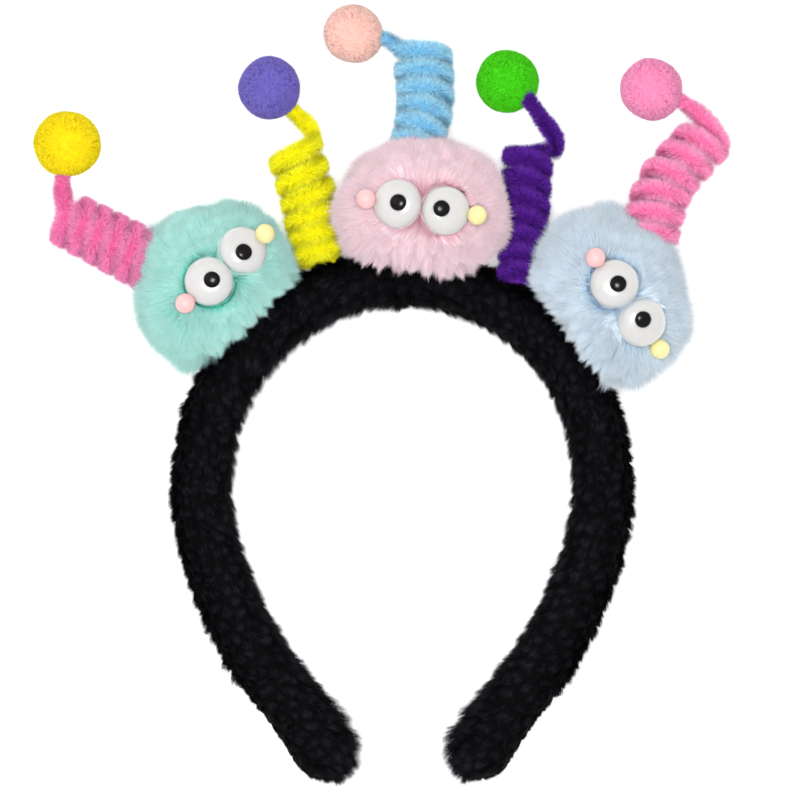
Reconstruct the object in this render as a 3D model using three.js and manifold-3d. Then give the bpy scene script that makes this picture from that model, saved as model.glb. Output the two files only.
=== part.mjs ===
// A dress-up headband: a padded plush band, three fur pompoms with bead faces, and five antennae
// of coiled chenille stem with small pompoms on their ends.
// Sizes are in millimetres. The headband lies on its back: +X to the right of the front view,
// +Y from the arm ends to the crown, +Z to the front. Places are given from the crown's middle.

import * as THREE from 'three';
import { mergeVertices } from 'three/addons/utils/BufferGeometryUtils.js';
import Module from 'manifold-3d';

const wasm = await Module();
wasm.setup();

// Clearance between pieces that touch, and the distance below which two corners are one.
const GAP = 0.3;
const SAME_CORNER = 1e-3;

// Where the crown's middle lies, so that the whole part is centred over the origin.
const CROWN_AT = new THREE.Vector3(6.515, 39.06, 0);

// Plush band: a section with a flat back, swept along a half circle and two arms that close in.
const ARCH_RADIUS = 66.8;
const ARCH_STATIONS = 9;
const BAND_CROWN = { width: 20.2, depth: 24 };
const BAND_END = { width: 23.6, depth: 21 };
const BAND_STATIONS = 36;
const BAND_SIDES = 12;
const BAND_SQUARENESS = 2.5;
const BACK_FLAT_ANGLE = THREE.MathUtils.degToRad(38);
const END_ROUNDING = 11;
const END_RINGS = 4;
const END_DEPTH_KEPT = 0.55;
const ARM_LINE = [
  { out: 64.7, up: -87.2 },
  { out: 57.8, up: -107.2 },
  { out: 47.3, up: -127.2 },
  { out: 36.4, up: -142 },
  { out: 27.8, up: -155 },
  { out: 20.8, up: -167.6 },
];

// Fur pompoms: locks stand on a head, and the fur's back stays just clear of the floor.
const FUR_HALF_DEPTH = 26;
const FUR_MIDDLE_Z = 27;
const FUR_LOCK_DEPTH = 0.16;
const FUR_COMB = 2.2;
const FUR_DETAIL = 1;
const FUR_PRESS_START = 0.2;
const LOCK_WAVE = 11;
const LEAN_WAVE = 12;
const LOCK_UNEVENNESS = 0.25;
const HOLLOW_SHARE = 1 / 3;
const TIP_LOCK_DEPTH = 0.07;
const TIP_COMB = 0.3;
const TIP_DETAIL = 0;

// Finishes: the colours of the band and beads, and how rough fibre, satin and glossy surfaces are.
const PLUSH_BLACK = 0x141218;
const EYE_WHITE = 0xf0eeed;
const PUPIL_BLACK = 0x1a1618;
const BEAD_PINK = 0xfec9c8;
const BEAD_YELLOW = 0xf4ecb5;
const FIBRE_ROUGHNESS = 1;
const SATIN_ROUGHNESS = 0.4;
const GLOSS_ROUGHNESS = 0.15;

// Bead faces: white domes with black pupils, and a small bead at each end of the row.
const EYE_RADIUS = 8.2;
const EYE_HEIGHT = 6.3;
const EYE_FULLNESS = 3;
const EYE_SKIRT = 1.4;
const EYE_SIDES = 12;
const EYE_ROWS = 4;
const EYE_FINE_ROWS = 24;
const EYE_LEAN = 0.75;
const PUPIL_RADIUS = 2.7;
const PUPIL_HEIGHT = 1.0;
const PUPIL_FULLNESS = 2;
const PUPIL_SUNK = 0.9;
const PUPIL_SIDES = 10;
const PUPIL_ROWS = 2;
const CHEEK_RADIUS = 3.3;
const CHEEK_SIDES = 10;
const CHEEK_ROWS = 5;
const SEAT_SHARE = 0.8;
const CHEEK_SEAT_SHARE = 0.9;
const LIFT_STEP = 0.05;

// One row for each pompom: its middle, its half sizes, and the middle and turn of its bead row.
// The spread is from eye to eye, the reach from an eye to its bead, the drop how far below the row
// the yellow bead lies, and the gaze a pupil's offset. The band reach is how far the fur gets from
// its middle towards the middle of the band's arch.
const CREATURES = [
  {
    name: 'mint', color: 0xa3e3d8,
    x: -61.9, y: -2.2, halfWidth: 29.4, halfHeight: 32, bandReach: 20,
    rowX: 3.2, rowY: 5.95, turn: 42.5, spread: 14.4, reachPink: 10.8, reachYellow: 10.8, drop: 1.2,
    gazeA: { x: 0.9, y: 0.6 }, gazeB: { x: 0.9, y: 0.1 },
  },
  {
    name: 'pink', color: 0xf3d2dc,
    x: 8.0, y: 22.5, halfWidth: 30.5, halfHeight: 27, bandReach: 28,
    rowX: -1.45, rowY: 1.0, turn: -8.2, spread: 15.5, reachPink: 11.0, reachYellow: 10.9, drop: 0,
    gazeA: { x: -0.2, y: 0.5 }, gazeB: { x: -1.1, y: 0.7 },
  },
  {
    name: 'blue', color: 0xc4dae8,
    x: 68.8, y: -6.8, halfWidth: 29.5, halfHeight: 33, bandReach: 21,
    rowX: 6.05, rowY: -1.45, turn: -54.7, spread: 15.1, reachPink: 10.8, reachYellow: 11.2, drop: 0,
    gazeA: { x: 1.3, y: 0.2 }, gazeB: { x: 0.9, y: 0.6 },
  },
];

// Antennae: a chenille stem wound round an axis, with a straight end that carries a pompom.
const STEM_RADIUS = 2.6;
const STEM_SIDES = 6;
const POINTS_PER_TURN = 16;
const STEM_STEP = 4.8;
const SLEEVE_SIDES = 10;
const SLEEVE_RINGS = 5;
const SOCKET_SIDES = 8;
const SOCKET_REACH = 14;

// One row for each antenna. The hand is 1 for a right-hand coil and -1 for a left-hand one. The
// radii are those of the stem's middle, and the end angle is 0 at the coil's right, 90 in front.
// The crowding is the share by which the turns at the base lie closer than the average.
const ANTENNAE = [
  {
    name: 'left_pink', color: 0xe96ea8, hand: 1,
    turns: 5.5, crowding: 0, baseRadius: 8.2, endRadius: 7.3, endAngle: 75,
    axis: [[-82.7, 4.8, 23], [-112.3, 20.1, 23]],
    stem: [[-113.3, 28, 29.6], [-113, 33.5, 29], [-112.4, 38.8, 28.5]],
    tip: { name: 'yellow', color: 0xf9e200, at: [-111.5, 44.8, 28], radius: 11.4 },
  },
  {
    name: 'yellow', color: 0xe0dc03, hand: 1,
    turns: 6, crowding: 0.2, baseRadius: 7.1, endRadius: 7.4, endAngle: -30,
    axis: [[-27.8, 5.6, 12.5], [-31.0, 25.5, 12.5], [-36.2, 44.2, 12.5]],
    stem: [[-28.5, 47.8, 8], [-32.4, 51.8, 9], [-39.2, 58.8, 11.5]],
    tip: { name: 'violet', color: 0x6d5fbb, at: [-44.3, 63.7, 12.5], radius: 10.6 },
  },
  {
    name: 'light_blue', color: 0x84c4e6, hand: -1,
    turns: 5.5, crowding: 0, baseRadius: 6.7, endRadius: 7.9, endAngle: 160,
    axis: [[4.6, 42.4, 21], [7.7, 58.5, 17.5], [6.7, 75.6, 14]],
    stem: [[-2, 78.4, 15.5], [-6, 80.3, 15], [-10.7, 81.3, 15]],
    tip: { name: 'peach', color: 0xfdc9bc, at: [-16.1, 81.7, 15], radius: 10.0 },
  },
  {
    name: 'purple', color: 0x471277, hand: -1,
    turns: 7, crowding: 0.1, baseRadius: 6.2, endRadius: 6.4, endAngle: 350,
    axis: [[40.0, -1.0, 19], [40.8, 20.5, 14.5], [42.2, 43.8, 10]],
    stem: [[53.4, 41.8, 10.5], [51.2, 46.6, 12], [46.9, 53, 15], [43, 58.7, 17], [39, 63.4, 16]],
    tip: { name: 'green', color: 0x3fd106, at: [35.2, 65.8, 12], radius: 10.7 },
  },
  {
    name: 'right_pink', color: 0xf27ab3, hand: 1,
    turns: 5.5, crowding: 0, baseRadius: 7.9, endRadius: 7.2, endAngle: -20,
    axis: [[81.8, 12.8, 21], [84.7, 23.5, 19.5], [88.7, 32.8, 17.5], [94.8, 39.8, 15.5], [100.7, 46, 13.5]],
    stem: [[106.6, 45.6, 9], [103, 50.4, 9], [98.2, 55.5, 10], [90, 61.4, 12]],
    tip: { name: 'pink', color: 0xfa8bba, at: [83.3, 63.2, 13], radius: 10.6 },
  },
];

// Joining and cutting

// Keeps only the corners of a shape, merged, and drops triangles that have shrunk to a line.
function toSolid(geometry) {
  const bare = new THREE.BufferGeometry();
  const loose = geometry.index ? geometry.toNonIndexed() : geometry;
  bare.setAttribute('position', loose.getAttribute('position'));
  const merged = mergeVertices(bare, SAME_CORNER);
  const triangles = [];
  const corners = merged.index.array;
  for (let i = 0; i < corners.length; i += 3) {
    const [a, b, c] = [corners[i], corners[i + 1], corners[i + 2]];
    if (a !== b && b !== c && c !== a) triangles.push(a, b, c);
  }
  const vertProperties = merged.attributes.position.array;
  const triVerts = Uint32Array.from(triangles);
  return new wasm.Manifold(new wasm.Mesh({ numProp: 3, vertProperties, triVerts }));
}

function toGeometry(solid) {
  const { vertProperties, triVerts } = solid.getMesh();
  const geometry = new THREE.BufferGeometry();
  geometry.setAttribute('position', new THREE.BufferAttribute(vertProperties, 3));
  geometry.setIndex(new THREE.BufferAttribute(triVerts, 1));
  return geometry;
}

// Takes the cutters out of a shape and keeps its largest piece, so that no clipped lock is left loose.
function cut(geometry, cutters) {
  let solid = toSolid(geometry);
  for (const cutter of cutters) solid = solid.subtract(toSolid(cutter));
  const pieces = solid.decompose();
  pieces.sort((a, b) => b.volume() - a.volume());
  return toGeometry(pieces[0]);
}

function makeMesh(name, geometry, color, roughness) {
  const shaded = geometry.clone();
  shaded.computeVertexNormals();
  const mesh = new THREE.Mesh(shaded, new THREE.MeshStandardMaterial({ color, roughness, metalness: 0 }));
  mesh.name = name;
  return mesh;
}

// Closes a row of rings, each wound from the right of travel towards the front, into one solid.
function skinRings(rings) {
  const sides = rings[0].length;
  const middleOf = (ring) => ring.reduce((sum, p) => sum.add(p), new THREE.Vector3()).divideScalar(sides);
  const points = [...rings.flat(), middleOf(rings[0]), middleOf(rings.at(-1))];
  const startMiddle = points.length - 2;
  const endMiddle = points.length - 1;
  const lastRing = (rings.length - 1) * sides;
  const index = [];
  for (let side = 0; side < sides; side += 1) {
    const next = (side + 1) % sides;
    index.push(startMiddle, side, next);
    index.push(endMiddle, lastRing + next, lastRing + side);
    for (let base = 0; base < lastRing; base += sides) {
      const ahead = base + sides;
      index.push(base + side, ahead + next, base + next);
      index.push(base + side, ahead + side, ahead + next);
    }
  }
  return new THREE.BufferGeometry().setFromPoints(points).setIndex(index);
}

// Plush band

function bandCurve() {
  const right = ARM_LINE.map(({ out, up }) => new THREE.Vector3(out, up, 0));
  const left = ARM_LINE.map(({ out, up }) => new THREE.Vector3(-out, up, 0)).reverse();
  const arch = [];
  for (let station = 0; station < ARCH_STATIONS; station += 1) {
    const angle = Math.PI * (1 - station / (ARCH_STATIONS - 1));
    arch.push(new THREE.Vector3(ARCH_RADIUS * Math.cos(angle), ARCH_RADIUS * (Math.sin(angle) - 1), 0));
  }
  return new THREE.CatmullRomCurve3([...left, ...arch, ...right], false, 'centripetal');
}

function signedPower(value, power) {
  return Math.sign(value) * Math.abs(value) ** power;
}

// One section of the band: a rounded square whose back is pressed flat.
function bandRing(middle, across, width, depth, back) {
  const power = 2 / BAND_SQUARENESS;
  const flatShare = 0.5 - 0.5 * Math.cos(BACK_FLAT_ANGLE) ** power;
  const sweep = 2 * (Math.PI - BACK_FLAT_ANGLE) / (BAND_SIDES - 1);
  const ring = [];
  for (let side = 0; side < BAND_SIDES; side += 1) {
    const angle = BACK_FLAT_ANGLE - Math.PI / 2 + side * sweep;
    const share = 0.5 + 0.5 * signedPower(Math.sin(angle), power);
    const height = Math.max(0, (share - flatShare) / (1 - flatShare)) * depth;
    const sideways = 0.5 * width * signedPower(Math.cos(angle), power);
    ring.push(middle.clone().addScaledVector(across, sideways).setZ(back + height));
  }
  return ring;
}

// The band, or with a growth its clearance shape.
function bandGeometry(growth) {
  const curve = bandCurve();
  const length = curve.getLength();
  const stations = [];
  for (let ring = 1; ring <= END_RINGS; ring += 1) {
    const angle = 0.5 * Math.PI * ring / END_RINGS;
    stations.push({ along: END_ROUNDING * (1 - Math.cos(angle)), fullness: Math.sin(angle) });
  }
  const farEnd = stations.map(({ along, fullness }) => ({ along: length - along, fullness })).reverse();
  const plainLength = length - 2 * END_ROUNDING;
  for (let station = 1; station < BAND_STATIONS; station += 1) {
    stations.push({ along: END_ROUNDING + plainLength * station / BAND_STATIONS, fullness: 1 });
  }
  stations.push(...farEnd);

  const rings = stations.map(({ along, fullness }) => {
    const share = along / length;
    const fromCrown = Math.abs(2 * share - 1);
    const tangent = curve.getTangentAt(share);
    const across = new THREE.Vector3(tangent.y, -tangent.x, 0);
    const width = THREE.MathUtils.lerp(BAND_CROWN.width, BAND_END.width, fromCrown) * fullness;
    const fullDepth = THREE.MathUtils.lerp(BAND_CROWN.depth, BAND_END.depth, fromCrown);
    const depth = fullDepth * THREE.MathUtils.lerp(END_DEPTH_KEPT, 1, fullness);
    return bandRing(curve.getPointAt(share), across, width + 2 * growth, depth + 2 * growth, -growth);
  });
  return skinRings(rings);
}

// Fur

// A ball of locks: each face of a geodesic ball has a lock at its middle and shares those at its
// corners, and the hollows between the locks lie a third of the way along its edges.
function furBall(detail, radii, lockDepth, comb) {
  const coarse = new THREE.IcosahedronGeometry(1, detail).getAttribute('position');
  const points = [];

  function lock(direction) {
    const { x, y, z } = direction;
    const wave = Math.sin(LOCK_WAVE * (x + z)) * Math.cos(LOCK_WAVE * (y - x));
    const lean = new THREE.Vector3(Math.sin(LEAN_WAVE * y), Math.sin(LEAN_WAVE * z), Math.sin(LEAN_WAVE * x));
    lean.addScaledVector(direction, -lean.dot(direction));
    const reach = 1 - LOCK_UNEVENNESS * lockDepth * (1 - wave);
    return direction.clone().multiply(radii).multiplyScalar(reach).addScaledVector(lean, comb);
  }

  function hollow(from, towards) {
    const direction = from.clone().lerp(towards, HOLLOW_SHARE).normalize();
    return direction.multiply(radii).multiplyScalar(1 - lockDepth);
  }

  for (let face = 0; face < coarse.count; face += 3) {
    const corners = [0, 1, 2].map((corner) => new THREE.Vector3().fromBufferAttribute(coarse, face + corner));
    const middle = lock(corners[0].clone().add(corners[1]).add(corners[2]).normalize());
    for (let corner = 0; corner < 3; corner += 1) {
      const here = corners[corner];
      const next = corners[(corner + 1) % 3];
      const last = corners[(corner + 2) % 3];
      const nearHere = hollow(here, next);
      const nearNext = hollow(next, here);
      points.push(lock(here), nearHere, hollow(here, last));
      points.push(nearHere, nearNext, middle);
      points.push(hollow(here, last), nearHere, middle);
    }
  }
  return new THREE.BufferGeometry().setFromPoints(points);
}

// Fur on the band's side is pressed back against the band, more the further it would reach.
function pressToBand(geometry, creature) {
  const towardsBand = new THREE.Vector3(-creature.x, -ARCH_RADIUS - creature.y, 0).normalize();
  const start = FUR_PRESS_START * creature.bandReach;
  const room = creature.bandReach - start;
  const position = geometry.getAttribute('position');
  const point = new THREE.Vector3();
  for (let corner = 0; corner < position.count; corner += 1) {
    point.fromBufferAttribute(position, corner);
    const beyond = Math.max(0, point.dot(towardsBand) - start);
    point.addScaledVector(towardsBand, room * Math.tanh(beyond / room) - beyond);
    position.setXYZ(corner, point.x, point.y, point.z);
  }
  return geometry;
}

// Bead faces

// A dome's outline from its edge to its top: an ellipse at a fullness of 2, and flatter on top with
// steeper sides above that.
function domeProfile(radius, height, rows, fullness) {
  const power = 2 / fullness;
  const profile = [];
  for (let row = 0; row <= rows; row += 1) {
    const angle = 0.5 * Math.PI * row / rows;
    const outward = row === rows ? 0 : radius * Math.cos(angle) ** power;
    profile.push(new THREE.Vector2(outward, height * Math.sin(angle) ** power));
  }
  return profile;
}

// A solid turned about +Z from its back, with a dome in front.
function domeGeometry(radius, height, skirt, sides, rows, fullness) {
  const foot = [new THREE.Vector2(0, -skirt), new THREE.Vector2(radius, -skirt)];
  const profile = [...foot, ...domeProfile(radius, height, rows, fullness)];
  return new THREE.LatheGeometry(profile, sides).rotateX(Math.PI / 2);
}

// A turned recess that clears a piece's foot by the gap and opens to the front.
function recessGeometry(radius, sunk, height, sides) {
  const length = sunk + height + 2 * GAP;
  const across = (radius + GAP) / Math.cos(Math.PI / sides);
  const recess = new THREE.CylinderGeometry(across, across, length, sides);
  return recess.rotateX(Math.PI / 2).translate(0, 0, 0.5 * length - sunk - GAP);
}

// The height of a pressed-in ellipsoid of the fur over a place beside the pompom's middle.
function furDepth(creature, x, y, share) {
  const slope = 1 - (x / creature.halfWidth) ** 2 - (y / creature.halfHeight) ** 2;
  return share * FUR_HALF_DEPTH * Math.sqrt(Math.max(0, slope));
}

function rowPlace(creature, along) {
  const turn = THREE.MathUtils.degToRad(creature.turn);
  return { x: creature.rowX + along * Math.cos(turn), y: creature.rowY + along * Math.sin(turn) };
}

// Seats a dome in the fur, leaning with the fur's surface.
function seatEye(mesh, creature, along) {
  const { x, y } = rowPlace(creature, along);
  const z = furDepth(creature, x, y, SEAT_SHARE);
  const outwards = new THREE.Vector3(
    EYE_LEAN * x / creature.halfWidth ** 2,
    EYE_LEAN * y / creature.halfHeight ** 2,
    z / FUR_HALF_DEPTH ** 2,
  );
  mesh.position.set(x, y, z);
  mesh.quaternion.setFromUnitVectors(new THREE.Vector3(0, 0, 1), outwards.normalize());
  mesh.updateMatrix();
}

// Whether a place in an eye's frame lies within the eye's dome.
function withinDome(place) {
  const outward = Math.hypot(place.x, place.y) / EYE_RADIUS;
  const forward = Math.abs(place.z) / EYE_HEIGHT;
  return outward ** EYE_FULLNESS + forward ** EYE_FULLNESS < 1;
}

// Whether a place in an eye's frame lies within the eye's dome or nearer to it than a clearance.
function nearDome(place, clearance) {
  const beside = new THREE.Vector2(Math.hypot(place.x, place.y), place.z);
  const outline = domeProfile(EYE_RADIUS, EYE_HEIGHT, EYE_FINE_ROWS, EYE_FULLNESS);
  return withinDome(place) || outline.some((point) => point.distanceTo(beside) < clearance);
}

// Seats a pupil where the line of sight through its offset in the front view meets an eye's dome.
function seatPupil(mesh, eye, gaze) {
  const toEye = eye.matrix.clone().invert();
  const place = new THREE.Vector3(gaze.x, gaze.y, 2 * EYE_RADIUS).add(eye.position);
  while (!withinDome(place.clone().applyMatrix4(toEye))) place.z -= LIFT_STEP;
  const local = place.clone().applyMatrix4(toEye);
  const steepness = Math.hypot(local.x, local.y) ** (EYE_FULLNESS - 2) / EYE_RADIUS ** EYE_FULLNESS;
  const rise = local.z ** (EYE_FULLNESS - 1) / EYE_HEIGHT ** EYE_FULLNESS;
  const outwards = new THREE.Vector3(local.x * steepness, local.y * steepness, rise).normalize();
  mesh.position.copy(place);
  mesh.quaternion.setFromUnitVectors(new THREE.Vector3(0, 0, 1), outwards);
  mesh.quaternion.premultiply(eye.quaternion);
  mesh.updateMatrix();
}

// Raises a bead from the fur until it clears the dome beside it.
function seatCheek(mesh, creature, along, drop, eye) {
  const { x, y } = rowPlace(creature, along);
  const toEye = eye.matrix.clone().invert();
  const clearance = CHEEK_RADIUS + GAP;
  const place = new THREE.Vector3(x, y - drop, furDepth(creature, x, y - drop, CHEEK_SEAT_SHARE));
  while (nearDome(place.clone().applyMatrix4(toEye), clearance)) place.z += LIFT_STEP;
  mesh.position.copy(place);
  mesh.updateMatrix();
}

// Antennae

// The wound stem's middle line: turns about the axis, then the straight end.
function stemCurve(antenna) {
  const axis = new THREE.CatmullRomCurve3(antenna.axis.map((place) => new THREE.Vector3(...place)));
  const front = new THREE.Vector3(0, 0, 1);
  const points = [];
  const count = Math.round(antenna.turns * POINTS_PER_TURN);
  for (let point = 0; point <= count; point += 1) {
    const share = point / count;
    const ahead = axis.getTangentAt(share);
    const right = ahead.clone().cross(front).normalize();
    const forward = right.clone().cross(ahead).normalize();
    const wound = share + antenna.crowding * share * (1 - share);
    const turned = 360 * antenna.turns * (1 - wound) * antenna.hand + antenna.endAngle;
    const angle = THREE.MathUtils.degToRad(turned);
    const radius = THREE.MathUtils.lerp(antenna.baseRadius, antenna.endRadius, share);
    const place = axis.getPointAt(share);
    place.addScaledVector(right, radius * Math.cos(angle)).addScaledVector(forward, radius * Math.sin(angle));
    points.push(place);
  }
  points.push(...antenna.stem.map((place) => new THREE.Vector3(...place)));
  return new THREE.CatmullRomCurve3(points, false, 'centripetal');
}

function stemGeometry(antenna) {
  const section = new THREE.Shape();
  for (let side = 0; side < STEM_SIDES; side += 1) {
    const angle = 2 * Math.PI * side / STEM_SIDES;
    const corner = [STEM_RADIUS * Math.cos(angle), STEM_RADIUS * Math.sin(angle)];
    if (side === 0) section.moveTo(...corner);
    else section.lineTo(...corner);
  }
  section.closePath();
  const extrudePath = stemCurve(antenna);
  const steps = Math.round(extrudePath.getLength() / STEM_STEP);
  return new THREE.ExtrudeGeometry(section, { steps, bevelEnabled: false, extrudePath });
}

// A sleeve that clears a whole coil by the gap.
function coilSleeve(antenna) {
  const axis = new THREE.CatmullRomCurve3(antenna.axis.map((place) => new THREE.Vector3(...place)));
  const front = new THREE.Vector3(0, 0, 1);
  const rings = [];
  for (let ring = 0; ring <= SLEEVE_RINGS; ring += 1) {
    const share = ring / SLEEVE_RINGS;
    const ahead = axis.getTangentAt(share);
    const right = ahead.clone().cross(front).normalize();
    const forward = right.clone().cross(ahead).normalize();
    const coil = THREE.MathUtils.lerp(antenna.baseRadius, antenna.endRadius, share);
    const radius = (coil + STEM_RADIUS + GAP) / Math.cos(Math.PI / SLEEVE_SIDES);
    const middle = axis.getPointAt(share);
    if (ring === 0) middle.addScaledVector(ahead, -STEM_RADIUS - GAP);
    const points = [];
    for (let side = 0; side < SLEEVE_SIDES; side += 1) {
      const angle = 2 * Math.PI * side / SLEEVE_SIDES;
      const place = middle.clone().addScaledVector(right, radius * Math.cos(angle));
      points.push(place.addScaledVector(forward, radius * Math.sin(angle)));
    }
    rings.push(points);
  }
  return skinRings(rings);
}

// The hole that a stem's end goes into, from just past the end back out of the small pompom.
function socketGeometry(antenna) {
  const [before, end] = antenna.stem.slice(-2).map((place) => new THREE.Vector3(...place));
  const back = before.clone().sub(end).normalize();
  const radius = (STEM_RADIUS + 2 * GAP) / Math.cos(Math.PI / SOCKET_SIDES);
  const socket = new THREE.CylinderGeometry(radius, radius, SOCKET_REACH, SOCKET_SIDES);
  const turn = new THREE.Quaternion().setFromUnitVectors(new THREE.Vector3(0, 1, 0), back);
  const middle = end.addScaledVector(back, 0.5 * SOCKET_REACH - GAP);
  return socket.applyQuaternion(turn).translate(middle.x, middle.y, middle.z);
}

// Assembly

function makeCreature(creature, neighbours) {
  const group = new THREE.Group();
  group.position.set(creature.x, creature.y, FUR_MIDDLE_Z);
  const half = 0.5 * creature.spread;
  const eyeDome = (growth) => domeGeometry(
    EYE_RADIUS + growth, EYE_HEIGHT + growth, EYE_SKIRT + growth, EYE_SIDES, EYE_ROWS, EYE_FULLNESS,
  );
  const dome = eyeDome(0);
  const grownDome = eyeDome(GAP);
  const pupilShape = domeGeometry(
    PUPIL_RADIUS, PUPIL_HEIGHT, PUPIL_SUNK, PUPIL_SIDES, PUPIL_ROWS, PUPIL_FULLNESS,
  );
  const pupilRecess = recessGeometry(PUPIL_RADIUS, PUPIL_SUNK, PUPIL_HEIGHT, PUPIL_SIDES);
  const eyeRecess = recessGeometry(EYE_RADIUS, EYE_SKIRT, 2 * EYE_HEIGHT, EYE_SIDES);
  const cheekProfile = [];
  for (let row = 0; row <= CHEEK_ROWS; row += 1) {
    const angle = Math.PI * (row / CHEEK_ROWS - 0.5);
    const outward = row % CHEEK_ROWS === 0 ? 0 : CHEEK_RADIUS * Math.cos(angle);
    cheekProfile.push(new THREE.Vector2(outward, CHEEK_RADIUS * Math.sin(angle)));
  }
  const cheekShape = new THREE.LatheGeometry(cheekProfile, CHEEK_SIDES).rotateX(Math.PI / 2);
  const cheekRecess = recessGeometry(CHEEK_RADIUS, CHEEK_RADIUS, 2 * CHEEK_RADIUS, CHEEK_SIDES);

  const { x, y, z } = group.position;
  const furCutters = neighbours.map((shape) => shape.clone().translate(-x, -y, -z));
  const sides = [
    {
      key: 'a', along: -half, gaze: creature.gazeA,
      cheek: 'pink', color: BEAD_PINK, reach: -creature.reachPink, drop: 0,
    },
    {
      key: 'b', along: half, gaze: creature.gazeB,
      cheek: 'yellow', color: BEAD_YELLOW, reach: creature.reachYellow, drop: creature.drop,
    },
  ];
  let firstEye = null;
  for (const side of sides) {
    const eye = makeMesh(`${creature.name}_eye_${side.key}`, dome, EYE_WHITE, GLOSS_ROUGHNESS);
    const pupil = makeMesh(`${creature.name}_pupil_${side.key}`, pupilShape, PUPIL_BLACK, GLOSS_ROUGHNESS);
    const cheek = makeMesh(`${creature.name}_cheek_${side.cheek}`, cheekShape, side.color, SATIN_ROUGHNESS);
    seatEye(eye, creature, side.along);
    seatPupil(pupil, eye, side.gaze);
    seatCheek(cheek, creature, side.along + side.reach, side.drop, eye);

    const toEye = eye.matrix.clone().invert();
    const eyeCutters = [pupilRecess.clone().applyMatrix4(pupil.matrix).applyMatrix4(toEye)];
    if (firstEye) eyeCutters.push(grownDome.clone().applyMatrix4(firstEye.matrix).applyMatrix4(toEye));
    eye.geometry = cut(dome, eyeCutters);
    eye.geometry.computeVertexNormals();
    furCutters.push(eyeRecess.clone().applyMatrix4(eye.matrix));
    furCutters.push(cheekRecess.clone().applyMatrix4(cheek.matrix));
    group.add(eye, pupil, cheek);
    firstEye = eye;
  }
  const radii = new THREE.Vector3(creature.halfWidth, creature.halfHeight, FUR_HALF_DEPTH);
  const ball = pressToBand(furBall(FUR_DETAIL, radii, FUR_LOCK_DEPTH, FUR_COMB), creature);
  const fur = cut(ball, furCutters);
  group.add(makeMesh(`${creature.name}_pompom`, fur, creature.color, FIBRE_ROUGHNESS));
  return group;
}

function makeAntenna(antenna) {
  const group = new THREE.Group();
  group.add(makeMesh(`${antenna.name}_coil`, stemGeometry(antenna), antenna.color, FIBRE_ROUGHNESS));
  const { name, color, at, radius } = antenna.tip;
  const radii = new THREE.Vector3(radius, radius, radius);
  const ball = furBall(TIP_DETAIL, radii, TIP_LOCK_DEPTH, TIP_COMB).translate(...at);
  group.add(makeMesh(`${name}_tip`, cut(ball, [socketGeometry(antenna)]), color, FIBRE_ROUGHNESS));
  return group;
}

const sleeves = ANTENNAE.map(coilSleeve);
const headband = new THREE.Group();
headband.position.copy(CROWN_AT);
headband.add(makeMesh('headband', cut(bandGeometry(0), sleeves), PLUSH_BLACK, FIBRE_ROUGHNESS));
for (const creature of CREATURES) headband.add(makeCreature(creature, [bandGeometry(GAP), ...sleeves]));
for (const antenna of ANTENNAE) headband.add(makeAntenna(antenna));

const part = new THREE.Group();
part.add(headband);

export default part;
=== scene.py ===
"""Looks of a pompom antenna headband: plush, long fur, chenille stems and moulded bead faces."""

import logging
import math
from dataclasses import dataclass, replace
from enum import Enum

import bmesh
import bpy
import numpy as np
from mathutils import Matrix, Vector, noise
from mathutils.bvhtree import BVHTree


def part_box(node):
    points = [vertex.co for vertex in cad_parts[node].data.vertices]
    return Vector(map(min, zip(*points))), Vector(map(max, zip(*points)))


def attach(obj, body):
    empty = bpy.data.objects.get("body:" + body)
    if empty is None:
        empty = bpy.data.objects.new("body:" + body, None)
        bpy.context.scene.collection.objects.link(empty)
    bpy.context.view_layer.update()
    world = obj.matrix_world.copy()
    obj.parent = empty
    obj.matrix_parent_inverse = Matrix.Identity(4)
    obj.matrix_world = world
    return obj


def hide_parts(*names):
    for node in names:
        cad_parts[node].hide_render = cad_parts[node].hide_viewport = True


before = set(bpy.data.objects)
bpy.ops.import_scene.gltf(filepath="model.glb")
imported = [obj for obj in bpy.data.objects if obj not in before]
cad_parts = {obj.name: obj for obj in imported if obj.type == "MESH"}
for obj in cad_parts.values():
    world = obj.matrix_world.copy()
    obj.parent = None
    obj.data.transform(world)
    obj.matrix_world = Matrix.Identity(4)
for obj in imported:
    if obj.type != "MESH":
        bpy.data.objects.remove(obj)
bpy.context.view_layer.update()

LOG = logging.getLogger("headband")

# Sizes below are in millimetres, and a place is counted from the middle of the band's crown.
MM = 0.001
CROWN = np.array((6.515, 39.06, 0.0))
ARCH_RADIUS = 66.8
FLOOR_CLEARANCE = 0.02
BODY = "root"

# The map that carries a strand's tone across it and its root-to-tip place up it.
STRAND_MAP = "OFBake"
MAP_MARGIN = 0.04
STRAND_MAP_WIDTH = 0.02
# The bare skin's patch sits at the root end of the map, so the skin under the pile takes the root colour:
# painted shade.
SKIN_MAP_START = (0.48, 0.04)
SKIN_MAP_SIZE = (0.04, 0.04)


def linear(hex_code: str) -> tuple[float, float, float, float]:
    """Turns an sRGB hex colour into a linear one.

    Args:
        hex_code: Six hex digits, such as "f0eeed".

    Returns:
        Red, green, blue and an alpha of one.
    """
    channels = [int(hex_code[place:place + 2], 16) / 255 for place in (0, 2, 4)]
    bent = [c / 12.92 if c <= 0.04045 else ((c + 0.055) / 1.055) ** 2.4 for c in channels]
    return (*bent, 1.0)


def metres(place: np.ndarray) -> np.ndarray:
    """Turns a place from the crown's middle, in millimetres, into the part's own frame."""
    return (np.asarray(place, float) + CROWN) * MM


def unit(vectors: np.ndarray) -> np.ndarray:
    """Scales vectors to a length of one."""
    return vectors / np.maximum(np.linalg.norm(vectors, axis=-1, keepdims=True), 1e-12)


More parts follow.
